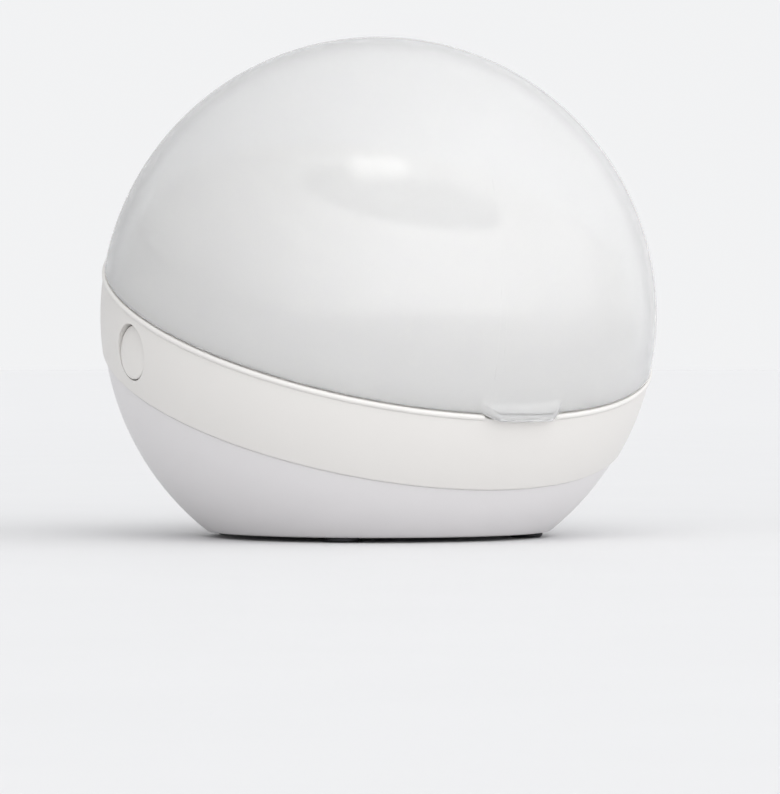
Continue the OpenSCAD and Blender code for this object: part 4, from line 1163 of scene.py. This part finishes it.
def make_inlet():
    """The mains inlet: a folded steel shell with solder tabs, and a black tongue with its contacts."""
    tabs = [slab(s * 3.95 - 0.25, s * 3.95 + 0.25, y, y + 1.0, BOARD_TOP - 0.4, -6.4, 0.1)
            for s in SIDES for y in (36.2, 39.2)]
    piece("inlet_shell", [at_inlet(prism(box_outline(3.8, 1.4, 0.8, 8), 35.5, 41.1, 0.1))], nickel(),
          "plated_steel", "usb_socket", adds=tabs,
          cuts=[at_inlet(prism(box_outline(3.45, 1.05, 0.5, 8), 36.5, 45))])
    piece("inlet_tongue", [slab(-2, 2, 36.0, 40.1, -6.9, -6.3, 0.1)],
          plastic("tongue_nylon", (0.02, 0.02, 0.022), 0.45), "switch_black")
    pins = [slab(i * 0.65 - 0.13, i * 0.65 + 0.13, 36.4, 39.9, a, a + 0.06, 0.03)
            for i in range(-2, 3) for a in (-6.94, -6.32)]
    piece("inlet_contacts", pins, metal("gold_flash", (0.83, 0.6, 0.22), 0.22), "plated_steel")


def make_socket_and_leads():
    """The lamp's ceramic block with its two bores, and the insulated leads as round tubes with soft bends."""
    piece("lamp_holder", [slab(-14, -10.5, -5.8, 5.8, CUP_FLOOR + 0.1, -5.0, 0.5)],
          plastic("steatite", (0.8, 0.79, 0.74), 0.62, 0.012, 3.0), "ceramic", "lamp_socket",
          cuts=[moved(lying(rod(1.25, -12.1, -9), "x"), 0, s * LEG_Y, LAMP_W) for s in SIDES])
    under, rise, lift = CUP_FLOOR - 1.4, -BOARD_IN - 1.5, board_height(3) - 0.5
    lamp_leads = [case(bent([[LEAD_X, y, CUP_FLOOR + 0.1], [LEAD_X, y, under], [rise, y, under],
                             [rise, y, BOARD_LOW]], 0.8)) for y in (-LEAD_Y, LEAD_Y)]
    cell_leads = [bent([[s * 24.9, 3, TOP_CELL_Z], [s * 25.8, 3, TOP_CELL_Z], [s * 25.8, 3, lift]], 0.7)
                  for s in SIDES]
    # The lead sleeves of both colours stand for one node: the first pair in red, the other in black
    for name, paths, rgb, nodes in (("red", [lamp_leads[1], cell_leads[1]], (0.5, 0.025, 0.015),
                                     ("inner_leads",)),
                                    ("black", [lamp_leads[0], cell_leads[0]], (0.02, 0.02, 0.02), ())):
        piece(name + "_leads", [tube(path, 0.5, (0, 1, 0.1), 20) for path in paths],
              plastic(name + "_silicone", rgb, 0.42, 0.003, 3.0), "lead_sleeve", *nodes, place=upright)


# ---------------------------------------------------------------------------------------------- battery


def along_cell(grid, cell):
    """A piece drawn from the cell's flat end at 0 to its nub at 44.5, laid in the bay."""
    p, u, v = moved(lying(grid, "x"), CELL_START)
    point, y, z = cell
    return p * [point, 1, 1] + np.array([0, y, z]), u, v


def make_cells():
    """Three cells: a steel can with its nub, a shrunk jacket that curls over both ends, and a band at the
    nub's end."""
    can = [(0, 0.15, 0), (4.3, 0.15, 0.2), (4.5, 0.05, 0.2), (5.1, 0.1, 0.4), (5.1, 43.4, 0.4),
           (4.2, 43.4, 0.2), (4.1, 43.25, 0.1), (1.9, 43.25, 0.15), (1.9, CELL_L, 0.3), (0, CELL_L, 0)]
    jacket = [(4.55, 0.0, 0.05), (5.25, 0.0, 0.3), (5.25, 33.0, 0.02), (5.12, 33.0, 0), (5.12, 0.1, 0.3),
              (4.55, 0.08, 0)]
    band = [(5.12, 33.05, 0), (5.25, 33.05, 0.02), (5.25, 43.5, 0.3), (4.55, 43.5, 0.05), (4.55, 43.42, 0),
            (5.12, 43.4, 0.3)]
    for name, outline, material, nodes in (
            ("cell_jackets", jacket, plastic("cell_sleeve", hues().jacket, 0.22, 0.001), ("battery_cells",)),
            ("cell_bands", band, metal("copper_sleeve", (0.72, 0.42, 0.22), 0.25, lines=(200, 900, 900)), ()),
            ("cell_cans", can, nickel(), ())):
        turned = ring_of(outline, 96)
        piece(name, [along_cell(turned, c) for c in CELLS], material, "cell_jacket", *nodes, place=upright)


def make_contacts():
    """Sprung contacts: plates with rounded corners and a pip for each nub, and conical springs of smooth
    wire, whose radius falls in step with their angle."""
    plates, pips, springs = [], [], []
    thick = 0.4
    for point, y, z in CELLS:
        for low in (-BAY_X, BAY_X - thick):
            plate = prism(box_outline(3.75, 3.75, 0.7), low, low + thick, 0.08)
            plates.append(moved(lying(plate, "x"), 0, y, z))
        low = BAY_X - 0.46
        pip, u, v = lying(rod(1.2, low, low + 0.2, 0.05), "x")
        pips.append((pip * [point, 1, 1] + np.array([0, y, z]), u, v))
        t = np.linspace(0, 1, 161)
        angle, r = t * 2.5 * TAU, 3.55 - 1.55 * t
        wire = np.stack([point * (-23.15 + 1.6 * t), y + r * np.cos(angle), z + r * np.sin(angle)], -1)
        springs.append(tube(wire, 0.3, (1, 0, 0), 12))
    piece("cell_plates", plates + pips, nickel(), "plated_steel", "contact_plates", place=upright)
    piece("cell_springs", springs, nickel(), "plated_steel", "contact_springs", place=upright)


def dress_bay():
    """The battery bay keeps its mesh and gets its finish."""
    bay = frame["nodes"]["battery_bay"]
    bay.data.materials.clear()
    bay.data.materials.append(plastic("bay_styrene", (0.72, 0.72, 0.7), 0.45))


# ----------------------------------------------------------------------------------------------- stage


def make_floor():
    """A round pale floor."""
    r = np.concatenate([[0], np.geomspace(0.05, 6, 40)]) / MM
    a = np.arange(128) * TAU / 128
    flat = spun(np.stack([r, 0 * r], -1), a)[0]
    floor = solid("floor", [(flat, True, False)], upright)
    if floor.data.polygons[0].normal.z < 0:
        floor.data.flip_normals()
    floor.data.materials.append(pale_floor())


def standing(thing, place, way):
    """Puts a lamp or camera at a place, looking along a direction."""
    made = bpy.data.objects.new(thing.name, thing)
    bpy.context.scene.collection.objects.link(made)
    made.location = place
    made.rotation_mode = "QUATERNION"
    made.rotation_quaternion = way.to_track_quat("-Z", "Y")
    return made


def add_light(name, place, centre, power, width, height, rgb):
    """A soft oval light aimed at the ball's centre."""
    light = bpy.data.lights.new(name, "AREA")
    light.shape, light.size, light.size_y = "ELLIPSE", width, height
    light.energy, light.color = power, rgb
    standing(light, place, centre - place)


def make_world(toward, right):
    """Soft surroundings: fill + slant fill d, with d the cosine of the angle to the front right, plus a lobe
    front max(0, e)^1.6 about the front. The camera sees an even backdrop instead."""
    look = bpy.context.scene.studio_look
    world = bpy.data.worlds.new("studio")
    world.use_nodes = True
    bpy.context.scene.world = world
    tree = world.node_tree
    back = tree.nodes["Background"].inputs
    back["Color"].default_value = (0.985, 0.99, 1.0, 1)
    where = node(tree, "TexCoord").outputs["Generated"]

    def cosine(ahead, aside, up):
        way = (toward * ahead + right * aside + Vector((0, 0, up))).normalized()
        return node(tree, "VectorMath", {0: where, 1: way}, operation="DOT_PRODUCT").outputs["Value"]

    around = mixed(tree, cosine(0.5, 0.75, 0.15), look.slant * look.fill, look.fill)
    lobe = math_node(tree, "POWER", math_node(tree, "MAXIMUM", cosine(0.9, 0.35, 0.2), 0.0), 1.6)
    around = mixed(tree, lobe, look.front, around)
    seen = node(tree, "LightPath").outputs["Is Camera Ray"]
    unseen = math_node(tree, "SUBTRACT", 1.0, seen)
    shown = math_node(tree, "MULTIPLY", seen, look.backdrop)
    tree.links.new(mixed(tree, around, unseen, shown), back["Strength"])


def make_camera(toward, right, centre):
    """The camera. The ball's centre lies left of and above the picture's middle, so its axis points a little
    to the right and down."""
    look, data = bpy.context.scene.studio_look, bpy.data.cameras.new("camera")
    data.lens, data.sensor_width, data.clip_start, data.clip_end = look.lens, 36, 0.01, 20
    place = centre + toward * look.distance
    place.z = look.camera_z
    down, aside = math.radians(0.607), math.radians(0.147)
    axis = -toward * math.cos(aside) + right * math.sin(aside)
    axis = Vector((axis.x * math.cos(down), axis.y * math.cos(down), -math.sin(down)))
    bpy.context.scene.camera = standing(data, place, axis)


def make_stage():
    """The world, the floor, two lights and the camera."""
    scene = bpy.context.scene
    look = scene.studio_look
    scene.view_settings.view_transform = "Standard"
    scene.view_settings.look = "None"
    a, centre = look.azimuth, Vector((0, 0, CENTRE_Z * MM))
    toward = Vector((math.sin(a), -math.cos(a), 0))
    right = Vector((math.cos(a), math.sin(a), 0))
    make_world(toward, right)
    make_floor()
    high = centre + toward * 0.35 + Vector((0, 0, 0.6))
    beside = centre + right * 0.66 + toward * 0.02 + Vector((0, 0, 0.24))
    add_light("key", high, centre, look.key, 0.26, 0.15, (1, 0.99, 0.97))
    add_light("side", beside, centre, look.side, 0.28, 0.45, (0.98, 0.99, 1))
    make_camera(toward, right, centre)


# --------------------------------------------------------------------------------------------- add-on


def run(*makers):
    """Calls the makers in order and reports an operator's success."""
    for make in makers:
        make()
    return {"FINISHED"}


class CASE_OT_lid(bpy.types.Operator):
    """Builds the frosted lid and its magnet"""

    bl_idname = "steriliser.lid"
    bl_label = "Lid"

    def execute(self, context):
        return run(make_lid)


class CASE_OT_base(bpy.types.Operator):
    """Builds the band, the lower shell and the power button"""

    bl_idname = "steriliser.base"
    bl_label = "Base shells"

    def execute(self, context):
        return run(make_band, make_lower, make_button)


class CASE_OT_chamber(bpy.types.Operator):
    """Builds the tray, the grille, the dish and the lamp"""

    bl_idname = "steriliser.chamber"
    bl_label = "Chamber"

    def execute(self, context):
        return run(make_tray, make_guard, make_cup, make_lamp)


class CASE_OT_hardware(bpy.types.Operator):
    """Builds the hinge pin, the screws, the rubber feet and the battery door"""

    bl_idname = "steriliser.hardware"
    bl_label = "Hinge, screws, feet and door"

    def execute(self, context):
        return run(make_pin, make_screws, make_feet, make_door)


class CASE_OT_board(bpy.types.Operator):
    """Builds the circuit board and all that is on it or wired to it"""

    bl_idname = "steriliser.board"
    bl_label = "Board"

    def execute(self, context):
        return run(make_board, make_chips, make_transformer, make_switch, make_lamps_and_sound, make_reed,
                   make_inlet, make_socket_and_leads)


class CASE_OT_battery(bpy.types.Operator):
    """Builds the cells and their contacts, and finishes the bay"""

    bl_idname = "steriliser.battery"
    bl_label = "Battery"

    def execute(self, context):
        return run(make_cells, make_contacts, dress_bay)


class CASE_OT_stage(bpy.types.Operator):
    """Builds the floor, the lights and the camera"""

    bl_idname = "steriliser.stage"
    bl_label = "Studio"

    def execute(self, context):
        return run(make_stage)


OPERATORS = [CASE_OT_lid, CASE_OT_base, CASE_OT_chamber, CASE_OT_hardware, CASE_OT_board, CASE_OT_battery,
             CASE_OT_stage]


class CASE_PT_panel(bpy.types.Panel):
    """Sizes, colours and studio of the steriliser"""

    bl_label = "Soother steriliser"
    bl_idname = "CASE_PT_panel"
    bl_space_type = "VIEW_3D"
    bl_region_type = "UI"
    bl_category = "Steriliser"

    def draw(self, context):
        scene = context.scene
        for settings in (scene.case_sizes, scene.case_colours, scene.studio_look):
            box = self.layout.box()
            for key in settings.__annotations__:
                box.prop(settings, key)
        for operator in OPERATORS:
            self.layout.operator(operator.bl_idname)


GROUPS = {"case_sizes": CaseSizes, "case_colours": CaseColours, "studio_look": StudioLook}


def register():
    for item in [*GROUPS.values(), *OPERATORS, CASE_PT_panel]:
        bpy.utils.register_class(item)
    for key, item in GROUPS.items():
        setattr(bpy.types.Scene, key, PointerProperty(type=item))


def unregister():
    for key in GROUPS:
        delattr(bpy.types.Scene, key)
    for item in reversed([*GROUPS.values(), *OPERATORS, CASE_PT_panel]):
        bpy.utils.unregister_class(item)


def main():
    """Registers the add-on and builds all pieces."""
    register()
    bpy.ops.steriliser.stage()
    bpy.ops.steriliser.lid()
    bpy.ops.steriliser.base()
    bpy.ops.steriliser.chamber()
    bpy.ops.steriliser.hardware()
    bpy.ops.steriliser.board()
    bpy.ops.steriliser.battery()
    bpy.context.view_layer.update()


if __name__ == "__main__":
    main()
